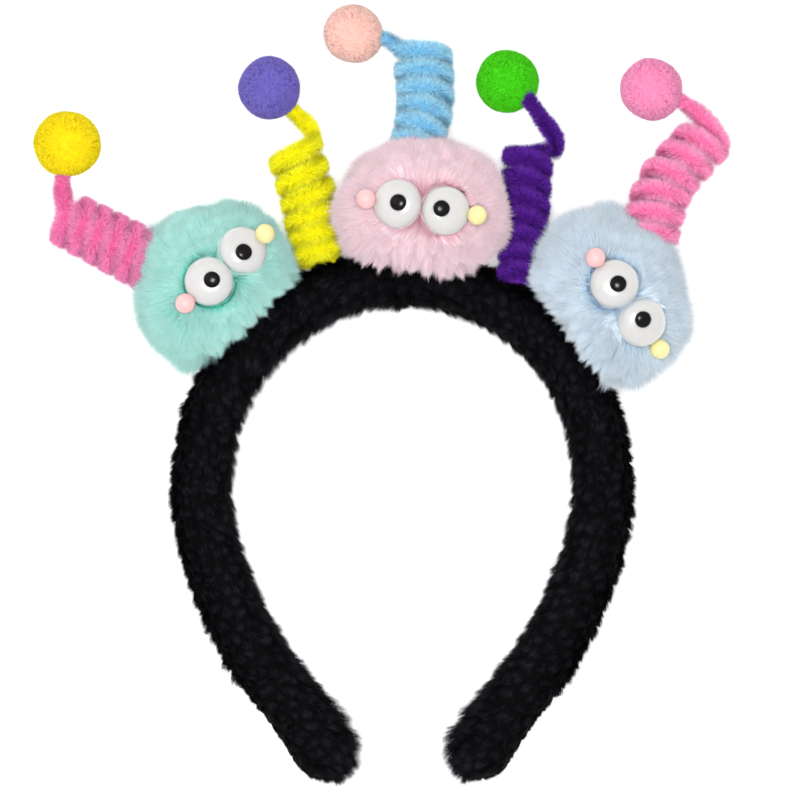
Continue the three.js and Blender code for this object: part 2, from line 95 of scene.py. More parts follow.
class NodeSheet:
    """A node tree that is being drawn."""

    def __init__(self, tree: bpy.types.NodeTree) -> None:
        """Starts on a tree, without the nodes that it came with."""
        self.tree = tree
        tree.nodes.clear()

    def add(self, kind: str, inputs: dict | None = None, **settings: object) -> bpy.types.Node:
        """Adds a node with its settings and links.

        Args:
            kind: The node's type name.
            inputs: For each input, by name or number, a value or the socket that feeds it.
            settings: The node's own properties.

        Returns:
            The new node.
        """
        node = self.tree.nodes.new(kind)
        for name, value in settings.items():
            setattr(node, name, value)
        for key, value in (inputs or {}).items():
            if isinstance(value, bpy.types.NodeSocket):
                self.tree.links.new(value, node.inputs[key])
            else:
                node.inputs[key].default_value = value
        return node


# Finishes


@dataclass(frozen=True)
class FibreFinish:
    """A dyed fibre whose colour differs a little from strand to strand and runs from root to tip, the root
    darker as painted shade.
    """

    name: str
    root: str
    middle: str
    tip: str
    dark_tone: float = 0.86
    light_tone: float = 1.08
    roughness: float = 0.8
    sheen: float = 0.3
    specular: float = 0.2

    def material(self) -> bpy.types.Material:
        """Makes the fibre's material from the strand map.

        Returns:
            A material that reads tone across the map and root to tip up it.
        """
        material = bpy.data.materials.new(self.name)
        material.use_nodes = True
        sheet = NodeSheet(material.node_tree)
        strand = sheet.add("ShaderNodeUVMap", uv_map=STRAND_MAP)
        place = sheet.add("ShaderNodeSeparateXYZ", {0: strand.outputs[0]})
        # The ramp runs from the root colour, darkened to paint the shade down in the pile, to the tip
        # colour.
        colour_ramp = sheet.add("ShaderNodeValToRGB", {0: place.outputs[1]})
        stops = colour_ramp.color_ramp.elements
        stops[0].color = linear(self.root)
        stops[1].color = linear(self.tip)
        stops.new(0.5).color = linear(self.middle)
        tone = sheet.add("ShaderNodeMapRange", {
            0: place.outputs[0], 3: self.dark_tone, 4: self.light_tone,
        })
        colour = sheet.add("ShaderNodeVectorMath", {
            0: colour_ramp.outputs[0], 3: tone.outputs[0],
        }, operation="SCALE")
        surface = sheet.add("ShaderNodeBsdfPrincipled", {
            "Base Color": colour.outputs[0],
            "Roughness": self.roughness,
            "Specular IOR Level": self.specular,
            "Sheen Weight": self.sheen,
            "Sheen Tint": linear(self.tip),
        })
        sheet.add("ShaderNodeOutputMaterial", {0: surface.outputs[0]})
        return material


@dataclass(frozen=True)
class MouldedFinish:
    """A moulded plastic: an even colour with faint clouding, and a skin with slight ripples."""

    name: str
    pale: str
    deep: str
    roughness: float
    coat: float
    specular: float = 0.5
    milkiness: float = 0.0
    cloud_size: float = 3.0
    ripple_size: float = 1.2
    ripple_depth: float = 0.01
    gloss_spread: float = 0.2
    glow_depth: float = 2.5

    def material(self) -> bpy.types.Material:
        """Makes the plastic's material on object coordinates.

        Returns:
            A material whose clouds and ripples have real sizes.
        """
        material = bpy.data.materials.new(self.name)
        material.use_nodes = True
        sheet = NodeSheet(material.node_tree)
        spot = sheet.add("ShaderNodeTexCoord").outputs["Object"]
        cloud = sheet.add("ShaderNodeTexNoise", {"Vector": spot, "Scale": 1 / (self.cloud_size * MM)})
        colour_ramp = sheet.add("ShaderNodeValToRGB", {0: cloud.outputs[0]})
        stops = colour_ramp.color_ramp.elements
        stops[0].color = linear(self.deep)
        stops[1].color = linear(self.pale)
        ripple = sheet.add("ShaderNodeTexNoise", {"Vector": spot, "Scale": 1 / (self.ripple_size * MM)})
        bump = sheet.add("ShaderNodeBump", {
            "Height": ripple.outputs[0], "Distance": self.ripple_depth * MM,
        })
        gloss = sheet.add("ShaderNodeMapRange", {
            0: cloud.outputs[0],
            3: (1 - self.gloss_spread) * self.roughness,
            4: (1 + self.gloss_spread) * self.roughness,
        })
        surface = sheet.add("ShaderNodeBsdfPrincipled", {
            "Base Color": colour_ramp.outputs[0],
            "Roughness": gloss.outputs[0],
            "Specular IOR Level": self.specular,
            "Coat Weight": self.coat,
            "Subsurface Weight": self.milkiness,
            "Subsurface Radius": (1.0, 1.0, 1.0),
            "Subsurface Scale": self.glow_depth * MM,
            "Normal": bump.outputs[0],
        })
        sheet.add("ShaderNodeOutputMaterial", {0: surface.outputs[0]})
        return material


class Finish(Enum):
    """The finishes of the headband's pieces, by the record's slot."""

    # Knitted polyester plush, brushed: deep black, with the root colour darker as painted shade down in the
    # pile and the tips painted lighter and cooler as the pile's sheen.
    plush_black = FibreFinish("Brushed polyester plush, black", "030304", "0a090c", "28252e",
                              dark_tone=0.3, light_tone=1.9, roughness=0.7, sheen=0.0, specular=0.05)
    # Long acrylic fur, combed out: a deeper root colour as painted shade down in the partings, and pale
    # silky tips.
    fur_mint = FibreFinish("Combed acrylic fur, mint", "20bb9e", "8edcd1", "caf0ea",
                           dark_tone=0.78, light_tone=1.1, sheen=0.12)
    fur_pink = FibreFinish("Combed acrylic fur, pink", "e889aa", "f2c8d5", "fae8ee",
                           dark_tone=0.78, light_tone=1.08, sheen=0.12)
    fur_blue = FibreFinish("Combed acrylic fur, pale blue", "74b0dc", "c0d5e5", "e4edf4",
                           dark_tone=0.78, light_tone=1.1, sheen=0.12)
    # Styrene moulded in a polished tool: clean white and black with small sharp highlights.
    eye_white = MouldedFinish("Polished moulded styrene, white", "d2d1d0", "cccbca",
                              roughness=0.25, coat=0.2, milkiness=0.6)
    pupil_black = MouldedFinish("Polished moulded styrene, black", "161214", "0c090a",
                                roughness=0.2, coat=0.0, specular=0.2)
    # Beads moulded in a fine matt tool: pale candy colours with a broad soft highlight.
    bead_pink = MouldedFinish("Satin moulded styrene, pink", "f9c2c0", "f4b6b8",
                              roughness=0.42, coat=0.0, milkiness=0.3)
    bead_yellow = MouldedFinish("Satin moulded styrene, yellow", "ece4ab", "e6da94",
                                roughness=0.42, coat=0.0, milkiness=0.3)
    # Rayon bristle twisted into wire: matt and strongly dyed, with the root colour darker as painted shade
    # down between the bristles.
    chenille_pink = FibreFinish("Twisted rayon chenille, pink", "e65a9e", "f584bd", "fcaed6")
    chenille_yellow = FibreFinish("Twisted rayon chenille, yellow", "f0e600", "fbf600", "fdfa40")
    chenille_light_blue = FibreFinish("Twisted rayon chenille, light blue", "6ebee6", "98d5ef", "c0e8f7")
    chenille_purple = FibreFinish("Twisted rayon chenille, purple", "360562", "561596", "7438b6")
    chenille_bright_pink = FibreFinish("Twisted rayon chenille, bright pink", "f470b0", "fe96c8", "ffbcdc")
    # Acrylic yarn, wound and trimmed to a ball: matt and grainy, with cut ends of slightly mixed tone and a
    # slightly darker root colour as painted shade down among the ends.
    pompom_yellow = FibreFinish("Trimmed acrylic yarn, yellow", "f8dc00", "ffe800", "fff030")
    pompom_violet = FibreFinish("Trimmed acrylic yarn, violet", "6456b4", "7a6cc8", "9086d8")
    pompom_peach = FibreFinish("Trimmed acrylic yarn, peach", "fcc6b8", "ffd2c6", "ffded6")
    pompom_green = FibreFinish("Trimmed acrylic yarn, green", "30b800", "44d806", "66e42e")
    pompom_pink = FibreFinish("Trimmed acrylic yarn, pink", "f688b8", "fd9eca", "ffb2d8")

    def material(self) -> bpy.types.Material:
        """Gives the finish's material, made when it is first asked for."""
        return bpy.data.materials.get(self.value.name) or self.value.material()

    def dress(self, piece: bpy.types.Object) -> None:
        """Gives a piece this finish.

        Args:
            piece: The object to dress.
        """
        piece.data.materials.clear()
        piece.data.materials.append(self.material())


# Strands


@dataclass(frozen=True)
class Pile:
    """How strands grow from a skin: sizes in millimetres, and the rest as shares.

    A strand is wider than a real fibre, as wide as it needs to be to show in the picture.
    """

    count: int
    length: float
    width: float
    uneven: float
    untidy: float
    seed: int
    clump_size: float = 4.0
    clumping: float = 0.0
    sway: float = 0.0
    sway_size: float = 12.0
    smoothness: float = 0.3


@dataclass
class Strands:
    """Strands as arrays: a row for each strand, with the corners of its blade."""

    points: np.ndarray
    outwards: np.ndarray
    uv: np.ndarray
    corners: np.ndarray
    at_tip: np.ndarray

    def keep(self, wanted: np.ndarray) -> None:
        """Keeps only some of the strands.

        Args:
            wanted: A mask over the strands.
        """
        self.points = self.points[wanted]
        self.outwards = self.outwards[wanted]
        self.uv = self.uv[wanted]

    def places(self, share: float) -> np.ndarray:
        """Gives a place on each strand.

        Args:
            share: How far it is along the strand, from root to tip.

        Returns:
            The places in metres.
        """
        roots = self.points[:, ~self.at_tip].mean(axis=1)
        tips = self.points[:, self.at_tip].mean(axis=1)
        return roots + share * (tips - roots)

    def wound(self) -> tuple[np.ndarray, np.ndarray]:
        """Winds each blade so that it faces out of the skin and up.

        Returns:
            Each blade's corners in order, and its map in the same order.
        """
        first, second, third = (self.points[:, corner] for corner in self.corners)
        facing = np.cross(second - first, third - first)
        turned_in = np.sum(facing * (self.outwards + (0.0, 0.0, 1.0)), axis=1) < 0
        corners = np.where(turned_in[:, None], self.corners[::-1], self.corners)
        return corners, np.where(turned_in[:, None, None], self.uv[:, ::-1], self.uv)


class PileTree:
    """The node tree that grows tapered strands from a skin with a "comb" and a "pile" attribute."""

    ROLL = 0.5
    INPUTS = {
        "Density": "NodeSocketFloat",
        "Length": "NodeSocketFloat",
        "Width": "NodeSocketFloat",
        "Uneven": "NodeSocketFloat",
        "Untidy": "NodeSocketFloat",
        "Clump size": "NodeSocketFloat",
        "Clumping": "NodeSocketFloat",
        "Sway": "NodeSocketFloat",
        "Sway size": "NodeSocketFloat",
        "Seed": "NodeSocketInt",
        "Material": "NodeSocketMaterial",
    }

    def __init__(self) -> None:
        """Draws the tree."""
        self.tree = bpy.data.node_groups.new("Pile of strands", "GeometryNodeTree")
        sockets = self.tree.interface
        sockets.new_socket("Skin", in_out="INPUT", socket_type="NodeSocketGeometry")
        for name, kind in self.INPUTS.items():
            sockets.new_socket(name, in_out="INPUT", socket_type=kind)
        sockets.new_socket("Strands", in_out="OUTPUT", socket_type="NodeSocketGeometry")
        sheet = NodeSheet(self.tree)
        given = sheet.add("NodeGroupInput").outputs
        strands = self._blades(sheet, self._roots(sheet, given))
        shaped = self._shape(sheet, given, strands)
        mapped = self._map(sheet, shaped)
        dressed = sheet.add("GeometryNodeSetMaterial", {0: mapped, "Material": given["Material"]})
        sheet.add("NodeGroupOutput", {0: dressed.outputs[0]})

    def _roots(self, sheet: NodeSheet, given: bpy.types.bpy_prop_collection) -> bpy.types.NodeSocket:
        """Scatters roots over the skin and notes what each strand needs.

        Args:
            sheet: The tree that is being drawn.
            given: The tree's inputs.

        Returns:
            The roots, with their notes as attributes.
        """
        scatter = sheet.add("GeometryNodeDistributePointsOnFaces", {
            "Mesh": given["Skin"], "Density": given["Density"], "Seed": given["Seed"],
        })
        place = sheet.add("GeometryNodeInputPosition").outputs[0]
        per_clump = sheet.add("ShaderNodeMath", {0: 1.0, 1: given["Clump size"]}, operation="DIVIDE")
        clump = sheet.add("ShaderNodeTexVoronoi", {"Vector": place, "Scale": per_clump.outputs[0]})
        per_sway = sheet.add("ShaderNodeMath", {0: 1.0, 1: given["Sway size"]}, operation="DIVIDE")
        waves = sheet.add("ShaderNodeTexNoise", {"Vector": place, "Scale": per_sway.outputs[0]})
        sway = sheet.add("ShaderNodeVectorMath", {
            0: waves.outputs[1], 1: (0.5, 0.5, 0.5),
        }, operation="SUBTRACT")
        wander = sheet.add("FunctionNodeRandomValue", {
            0: (-1, -1, -1), 1: (1, 1, 1), "Seed": given["Seed"],
        }, data_type="FLOAT_VECTOR")
        chance = sheet.add("FunctionNodeRandomValue", {"Seed": given["Seed"]}, data_type="FLOAT")
        notes = {
            "root": ("FLOAT_VECTOR", place),
            "out": ("FLOAT_VECTOR", scatter.outputs["Normal"]),
            "clump": ("FLOAT_VECTOR", clump.outputs["Position"]),
            "shade": ("FLOAT_VECTOR", clump.outputs["Color"]),
            "sway": ("FLOAT_VECTOR", sway.outputs[0]),
            "wander": ("FLOAT_VECTOR", wander.outputs[0]),
            "chance": ("FLOAT", chance.outputs[1]),
        }
        roots = scatter.outputs["Points"]
        for name, (kind, value) in notes.items():
            store = sheet.add("GeometryNodeStoreNamedAttribute", {
                "Geometry": roots, "Name": name,
            }, data_type=kind)
            sheet.tree.links.new(value, store.inputs["Value"])
            roots = store.outputs[0]
        return roots

    def _blades(self, sheet: NodeSheet, roots: bpy.types.NodeSocket) -> bpy.types.NodeSocket:
        """Puts a plain three-cornered blade on each root and makes all of them real.

        Args:
            sheet: The tree that is being drawn.
            roots: The roots with their notes.

        Returns:
            One mesh of blades that know how far across and along each corner is.
        """
        blade = sheet.add("GeometryNodeMeshCircle", {"Vertices": 3, "Radius": 1.0}, fill_type="NGON")
        place = sheet.add("GeometryNodeInputPosition").outputs[0]
        split = sheet.add("ShaderNodeSeparateXYZ", {0: place})
        along = sheet.add("ShaderNodeMath", {
            0: split.outputs[0], 1: 2 / 3, 2: 1 / 3,
        }, operation="MULTIPLY_ADD")
        across = sheet.add("ShaderNodeMath", {0: split.outputs[1], 1: 3**-0.5}, operation="MULTIPLY")
        strand = blade.outputs[0]
        for name, value in (("across", across.outputs[0]), ("along", along.outputs[0])):
            store = sheet.add("GeometryNodeStoreNamedAttribute", {
                "Geometry": strand, "Name": name,
            }, data_type="FLOAT")
            sheet.tree.links.new(value, store.inputs["Value"])
            strand = store.outputs[0]
        copies = sheet.add("GeometryNodeInstanceOnPoints", {"Points": roots, "Instance": strand})
        return sheet.add("GeometryNodeRealizeInstances", {0: copies.outputs[0]}).outputs[0]

    def _shape(self, sheet: NodeSheet, given: bpy.types.bpy_prop_collection,
               strands: bpy.types.NodeSocket) -> bpy.types.NodeSocket:
        """Stretches each blade along its strand's way.

        Args:
            sheet: The tree that is being drawn.
            given: The tree's inputs.
            strands: The plain blades.

        Returns:
            The blades combed, clumped and swayed.
        """
        kinds = {"FLOAT_VECTOR": ("root", "out", "comb", "clump", "shade", "sway", "wander"),
                 "FLOAT": ("pile", "chance", "across", "along")}
        note = {}
        for kind, names in kinds.items():
            for name in names:
                read = sheet.add("GeometryNodeInputNamedAttribute", {"Name": name}, data_type=kind)
                note[name] = read.outputs[0]

        vector = "ShaderNodeVectorMath"
        number = "ShaderNodeMath"

        def step(kind: str, operation: str, *values: object) -> bpy.types.NodeSocket:
            """Adds a step of the sum.

            Args:
                kind: The node's type name.
                operation: What it works out.
                values: Its inputs in order; what a vector is scaled by is the node's fourth.

            Returns:
                The socket with the answer.
            """
            keys = (0, 3) if operation == "SCALE" else range(len(values))
            node = sheet.add(kind, dict(zip(keys, values)), operation=operation)
            return node.outputs[1 if operation == "DOT_PRODUCT" else 0]

        wander = step(vector, "SCALE", note["wander"], given["Untidy"])
        combed = step(vector, "ADD", note["out"], note["comb"])
        heading = step(vector, "NORMALIZE", step(vector, "ADD", combed, wander))
        clump_shade = sheet.add("ShaderNodeSeparateXYZ", {0: note["shade"]}).outputs[0]
        mixed = step(number, "ADD", note["chance"], clump_shade)
        shorter = step(number, "MULTIPLY", mixed, given["Uneven"])
        full = step(number, "MULTIPLY", given["Length"], note["pile"])
        length = step(number, "MULTIPLY", full, step(number, "SUBTRACT", 1.0, shorter))

        to_clump = step(vector, "SUBTRACT", note["clump"], note["root"])
        rise = step(vector, "SCALE", note["out"], step(vector, "DOT_PRODUCT", to_clump, note["out"]))
        pull = step(vector, "SCALE", step(vector, "SUBTRACT", to_clump, rise), given["Clumping"])
        drift = step(vector, "SCALE", note["sway"], step(number, "MULTIPLY", length, given["Sway"]))
        aside = step(vector, "ADD", pull, drift)
        reach = step(vector, "ADD", step(vector, "SCALE", heading, length), aside)
        way = step(vector, "ADD", note["root"], step(vector, "SCALE", reach, note["along"]))

        rolled = step(vector, "ADD", note["out"], step(vector, "SCALE", note["wander"], self.ROLL))
        side = step(vector, "NORMALIZE", step(vector, "CROSS_PRODUCT", heading, rolled))
        half = step(number, "MULTIPLY", note["across"], given["Width"])
        place = step(vector, "ADD", way, step(vector, "SCALE", side, half))
        return sheet.add("GeometryNodeSetPosition", {"Geometry": strands, "Position": place}).outputs[0]

    def _map(self, sheet: NodeSheet, strands: bpy.types.NodeSocket) -> bpy.types.NodeSocket:
        """Writes each strand's tone and its root-to-tip place as the strand map.

        Args:
            sheet: The tree that is being drawn.
            strands: The shaped blades.

        Returns:
            The same blades with their map.
        """
        note = {}
        for name in ("chance", "across", "along"):
            read = sheet.add("GeometryNodeInputNamedAttribute", {"Name": name}, data_type="FLOAT")
            note[name] = read.outputs[0]
        shade = sheet.add("GeometryNodeInputNamedAttribute", {"Name": "shade"}, data_type="FLOAT_VECTOR")
        clump_shade = sheet.add("ShaderNodeSeparateXYZ", {0: shade.outputs[0]}).outputs[1]
        both = sheet.add("ShaderNodeMath", {0: note["chance"], 1: clump_shade}, operation="ADD")
        room = 1 - 2 * MAP_MARGIN
        tone = sheet.add("ShaderNodeMath", {
            0: both.outputs[0], 1: 0.5 * room, 2: MAP_MARGIN,
        }, operation="MULTIPLY_ADD")
        edge = sheet.add("ShaderNodeMath", {
            0: note["across"], 1: STRAND_MAP_WIDTH, 2: tone.outputs[0],
        }, operation="MULTIPLY_ADD")
        climb = sheet.add("ShaderNodeMath", {
            0: note["along"], 1: room, 2: MAP_MARGIN,
        }, operation="MULTIPLY_ADD")
        place = sheet.add("ShaderNodeCombineXYZ", {0: edge.outputs[0], 1: climb.outputs[0]})
        store = sheet.add("GeometryNodeStoreNamedAttribute", {
            "Geometry": strands, "Name": STRAND_MAP,
        }, data_type="FLOAT2", domain="CORNER")
        sheet.tree.links.new(place.outputs[0], store.inputs["Value"])
        return store.outputs[0]

    def grow(self, skin: bpy.types.Object, pile: Pile, finish: Finish) -> Strands:
        """Grows a pile on a skin, which is left without the modifier.

        Args:
            skin: A mesh object with the "comb" and "pile" attributes.
            pile: How the strands grow.
            finish: The strands' finish.

        Returns:
            The strands as arrays.
        """
        area = sum(face.area for face in skin.data.polygons)
        values = {
            "Density": pile.count / area,
            "Length": pile.length * MM,
            "Width": pile.width * MM,
            "Uneven": pile.uneven,
            "Untidy": pile.untidy,
            "Clump size": pile.clump_size * MM,
            "Clumping": pile.clumping,
            "Sway": pile.sway,
            "Sway size": pile.sway_size * MM,
            "Seed": pile.seed,
            "Material": finish.material(),
        }
        modifier = skin.modifiers.new("Pile", "NODES")
        modifier.node_group = self.tree
        for item in self.tree.interface.items_tree:
            if item.name in values:
                modifier[item.identifier] = values[item.name]
        graph = bpy.context.evaluated_depsgraph_get()
        grown = bpy.data.meshes.new_from_object(
            skin.evaluated_get(graph), preserve_all_data_layers=True, depsgraph=graph)
        skin.modifiers.remove(modifier)
        return self._read(grown)

    def _read(self, grown: bpy.types.Mesh) -> Strands:
        """Reads a grown mesh of blades into arrays and discards it.

        Args:
            grown: A mesh with three corners to each blade.

        Returns:
            The strands as arrays.
        """
        count = len(grown.polygons)

        def values(name: str, key: str, width: int) -> np.ndarray:
            """Reads one attribute.

            Args:
                name: The attribute's name.
                key: What its items call their value.
                width: How many numbers an item has.

            Returns:
                A row for each strand, with its three corners' values.
            """
            found = np.empty(count * 3 * width, np.float32)
            grown.attributes[name].data.foreach_get(key, found)
            return found.reshape(count, 3, width).astype(float)

        strands = Strands(
            points=values("position", "vector", 3),
            outwards=values("out", "vector", 3)[:, 0],
            uv=values(STRAND_MAP, "vector", 2),
            corners=np.array([loop.vertex_index for loop in grown.loops[:3]]),
            at_tip=values("along", "value", 1)[0, :, 0] > 0.5,
        )
        bpy.data.meshes.remove(grown)
        return strands


# Meshes


def new_object(name: str, mesh: bpy.types.Mesh) -> bpy.types.Object:
    """Puts a mesh in the scene as an object at the origin.

    Args:
        name: The object's name.
        mesh: Its mesh.

    Returns:
        The object.
    """
    piece = bpy.data.objects.new(name, mesh)
    bpy.context.scene.collection.objects.link(piece)
    return piece


def mesh_from(name: str, points: np.ndarray, faces: list[list[int]]) -> bpy.types.Mesh:
    """Makes a smooth mesh.

    Args:
        name: The mesh's name.
        points: Its points in metres.
        faces: For each face, the numbers of its points.

    Returns:
        The mesh.
    """
    mesh = bpy.data.meshes.new(name)
    mesh.from_pydata(points.tolist(), [], faces)
    mesh.shade_smooth()
    mesh.update()
    return mesh


def arrays_of(mesh: bpy.types.Mesh) -> tuple[np.ndarray, np.ndarray]:
    """Reads where a mesh's points are and which way they face.

    Args:
        mesh: The mesh.

    Returns:
        The points and their normals, a row for each point.
    """
    points = np.empty(3 * len(mesh.vertices), np.float32)
    normals = np.empty_like(points)
    mesh.vertices.foreach_get("co", points)
    mesh.vertices.foreach_get("normal", normals)
    return points.reshape(-1, 3).astype(float), normals.reshape(-1, 3).astype(float)


def evaluated(piece: bpy.types.Object) -> None:
    """Makes a piece's modifiers part of its mesh.

    Args:
        piece: The object, which is left without modifiers.
    """
    graph = bpy.context.evaluated_depsgraph_get()
    done = bpy.data.meshes.new_from_object(piece.evaluated_get(graph), depsgraph=graph)
    piece.modifiers.clear()
    piece.data = done


def note_pile(skin: bpy.types.Object, comb: np.ndarray, pile: np.ndarray) -> None:
    """Writes which way a skin's strands lean and the share of the full length that they have.

    Args:
        skin: The mesh object that strands will grow from.
        comb: A lean for each point.
        pile: A share of the full length for each point.
    """
    lean = skin.data.attributes.new("comb", "FLOAT_VECTOR", "POINT")
    lean.data.foreach_set("vector", comb.astype(np.float32).ravel())
    share = skin.data.attributes.new("pile", "FLOAT", "POINT")
    share.data.foreach_set("value", pile.astype(np.float32))


def furred(skin: bpy.types.Object, strands: Strands, pile: Pile) -> None:
    """Joins a skin and its strands in one mesh, with the strand map and soft normals.

    Args:
        skin: The object whose mesh is the bare skin. It gets the joined mesh.
        strands: What grows on it.
        pile: How the strands grew.
    """
    skin_points, skin_normals = arrays_of(skin.data)
    skin_faces = [list(face.vertices) for face in skin.data.polygons]
    count = len(strands.points)
    blade_corners, blade_map = strands.wound()
    strand_faces = len(skin_points) + 3 * np.arange(count)[:, None] + blade_corners
    points = np.concatenate([skin_points, strands.points.reshape(-1, 3)])

    sizes = np.array([len(face) for face in skin_faces] + [3] * count)
    corners = np.concatenate([np.concatenate(skin_faces), strand_faces.ravel()])
    mesh = bpy.data.meshes.new(skin.name)
    mesh.vertices.add(len(points))
    mesh.vertices.foreach_set("co", points.astype(np.float32).ravel())
    mesh.loops.add(len(corners))
    mesh.loops.foreach_set("vertex_index", corners.astype(np.int32))
    mesh.polygons.add(len(sizes))
    starts = np.concatenate([[0], np.cumsum(sizes)[:-1]])
    mesh.polygons.foreach_set("loop_start", starts.astype(np.int32))
    mesh.update(calc_edges=True)
    mesh.shade_smooth()

    # The skin's map lies in the root end of the strand map, so the bare skin takes the root colour, painted
    # shade under the pile.
    low, high = skin_points.min(axis=0), skin_points.max(axis=0)
    skin_share = ((skin_points - low) / (high - low))[np.concatenate(skin_faces)][:, :2]
    skin_map = np.array(SKIN_MAP_START) + skin_share * SKIN_MAP_SIZE
    strand_map = mesh.uv_layers.new(name=STRAND_MAP)
    whole_map = np.concatenate([skin_map, blade_map.reshape(-1, 2)])
    strand_map.uv.foreach_set("vector", whole_map.astype(np.float32).ravel())

    blade_normals = arrays_of(mesh)[1][len(skin_points):].reshape(count, 3, 3)
    outwards = unit(strands.outwards)[:, None]
    soft = pile.smoothness * outwards + (1 - pile.smoothness) * blade_normals
    normals = np.concatenate([skin_normals, unit(soft).reshape(-1, 3)])
    mesh.normals_split_custom_set_from_vertices(normals.astype(np.float32))
    bare = skin.data
    skin.data = mesh
    bpy.data.meshes.remove(bare)


def inside(nodes: list[str], points: np.ndarray, depth: float) -> np.ndarray:
    """Marks the points that lie deeper than a depth inside any of some nodes' solids.

    Args:
        nodes: Names of the frame's nodes.
        points: Places in metres.
        depth: A depth in millimetres.

    Returns:
        A mask over the points.
    """
    marked = np.zeros(len(points), bool)
    for node in nodes:
        solid = bmesh.new()
        solid.from_mesh(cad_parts[node].data)
        tree = BVHTree.FromBMesh(solid)
        low, high = (np.array(corner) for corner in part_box(node))
        near = np.flatnonzero(np.all((points > low) & (points < high), axis=1) & ~marked)
        for index in near:
            place, normal, _, _ = tree.find_nearest(points[index])
            marked[index] = (Vector(points[index]) - place).dot(normal) < -depth * MM
        solid.free()
    return marked


def capped_faces(rings: int, around: int, reverse: bool = False) -> list[list[int]]:
    """Lists the faces of a tube of rings that a point closes at each end.

    Args:
        rings: How many rings there are. Their points come first, one ring after another.
        around: How many points a ring has.
        reverse: Whether the rings run the other way round.

    Returns:
        For each face, the numbers of its points. The first end's point is last but one.
    """
    start = rings * around
    end = start + 1
    last = start - around
    faces = []
    for step in range(around):
        after = (step + 1) % around
        faces.append([start, after, step])
        faces.append([end, last + step, last + after])
        for base in range(0, last, around):
            ahead = base + around
            faces.append([base + step, base + after, ahead + after, ahead + step])
    return [[face[0], *face[:0:-1]] for face in faces] if reverse else faces


def turned(name: str, profile: list[tuple[float, float]], segments: int) -> bpy.types.Mesh:
    """Turns a profile about +Z into a closed smooth mesh.

    Args:
        name: The mesh's name.
        profile: Outward and upward places in millimetres, from the axis at the back to the axis in front.
        segments: How many steps make a whole turn.

    Returns:
        The mesh, in metres, about the origin.
    """
    angles = 2 * math.pi * np.arange(segments) / segments
    rings = [np.stack([out * np.cos(angles), out * np.sin(angles), np.full(segments, up)], axis=1)
             for out, up in profile[1:-1]]
    poles = np.array([(0, 0, profile[0][1]), (0, 0, profile[-1][1])])
    points = np.concatenate([*rings, poles]) * MM
    return mesh_from(name, points, capped_faces(len(rings), segments))


def finished(piece: bpy.types.Object, finish: Finish) -> bpy.types.Object:
    """Dresses a piece, lets it ride and has it stand for the node of its name.

    Args:
        piece: An object named as its node with "_look" after it.
        finish: Its finish.

    Returns:
        The same piece.
    """
    finish.dress(piece)
    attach(piece, BODY)
    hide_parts(piece.name.removesuffix("_look"))
    LOG.info("%s: %d faces, %s", piece.name, len(piece.data.polygons), finish.value.name)
    return piece


# Plush band


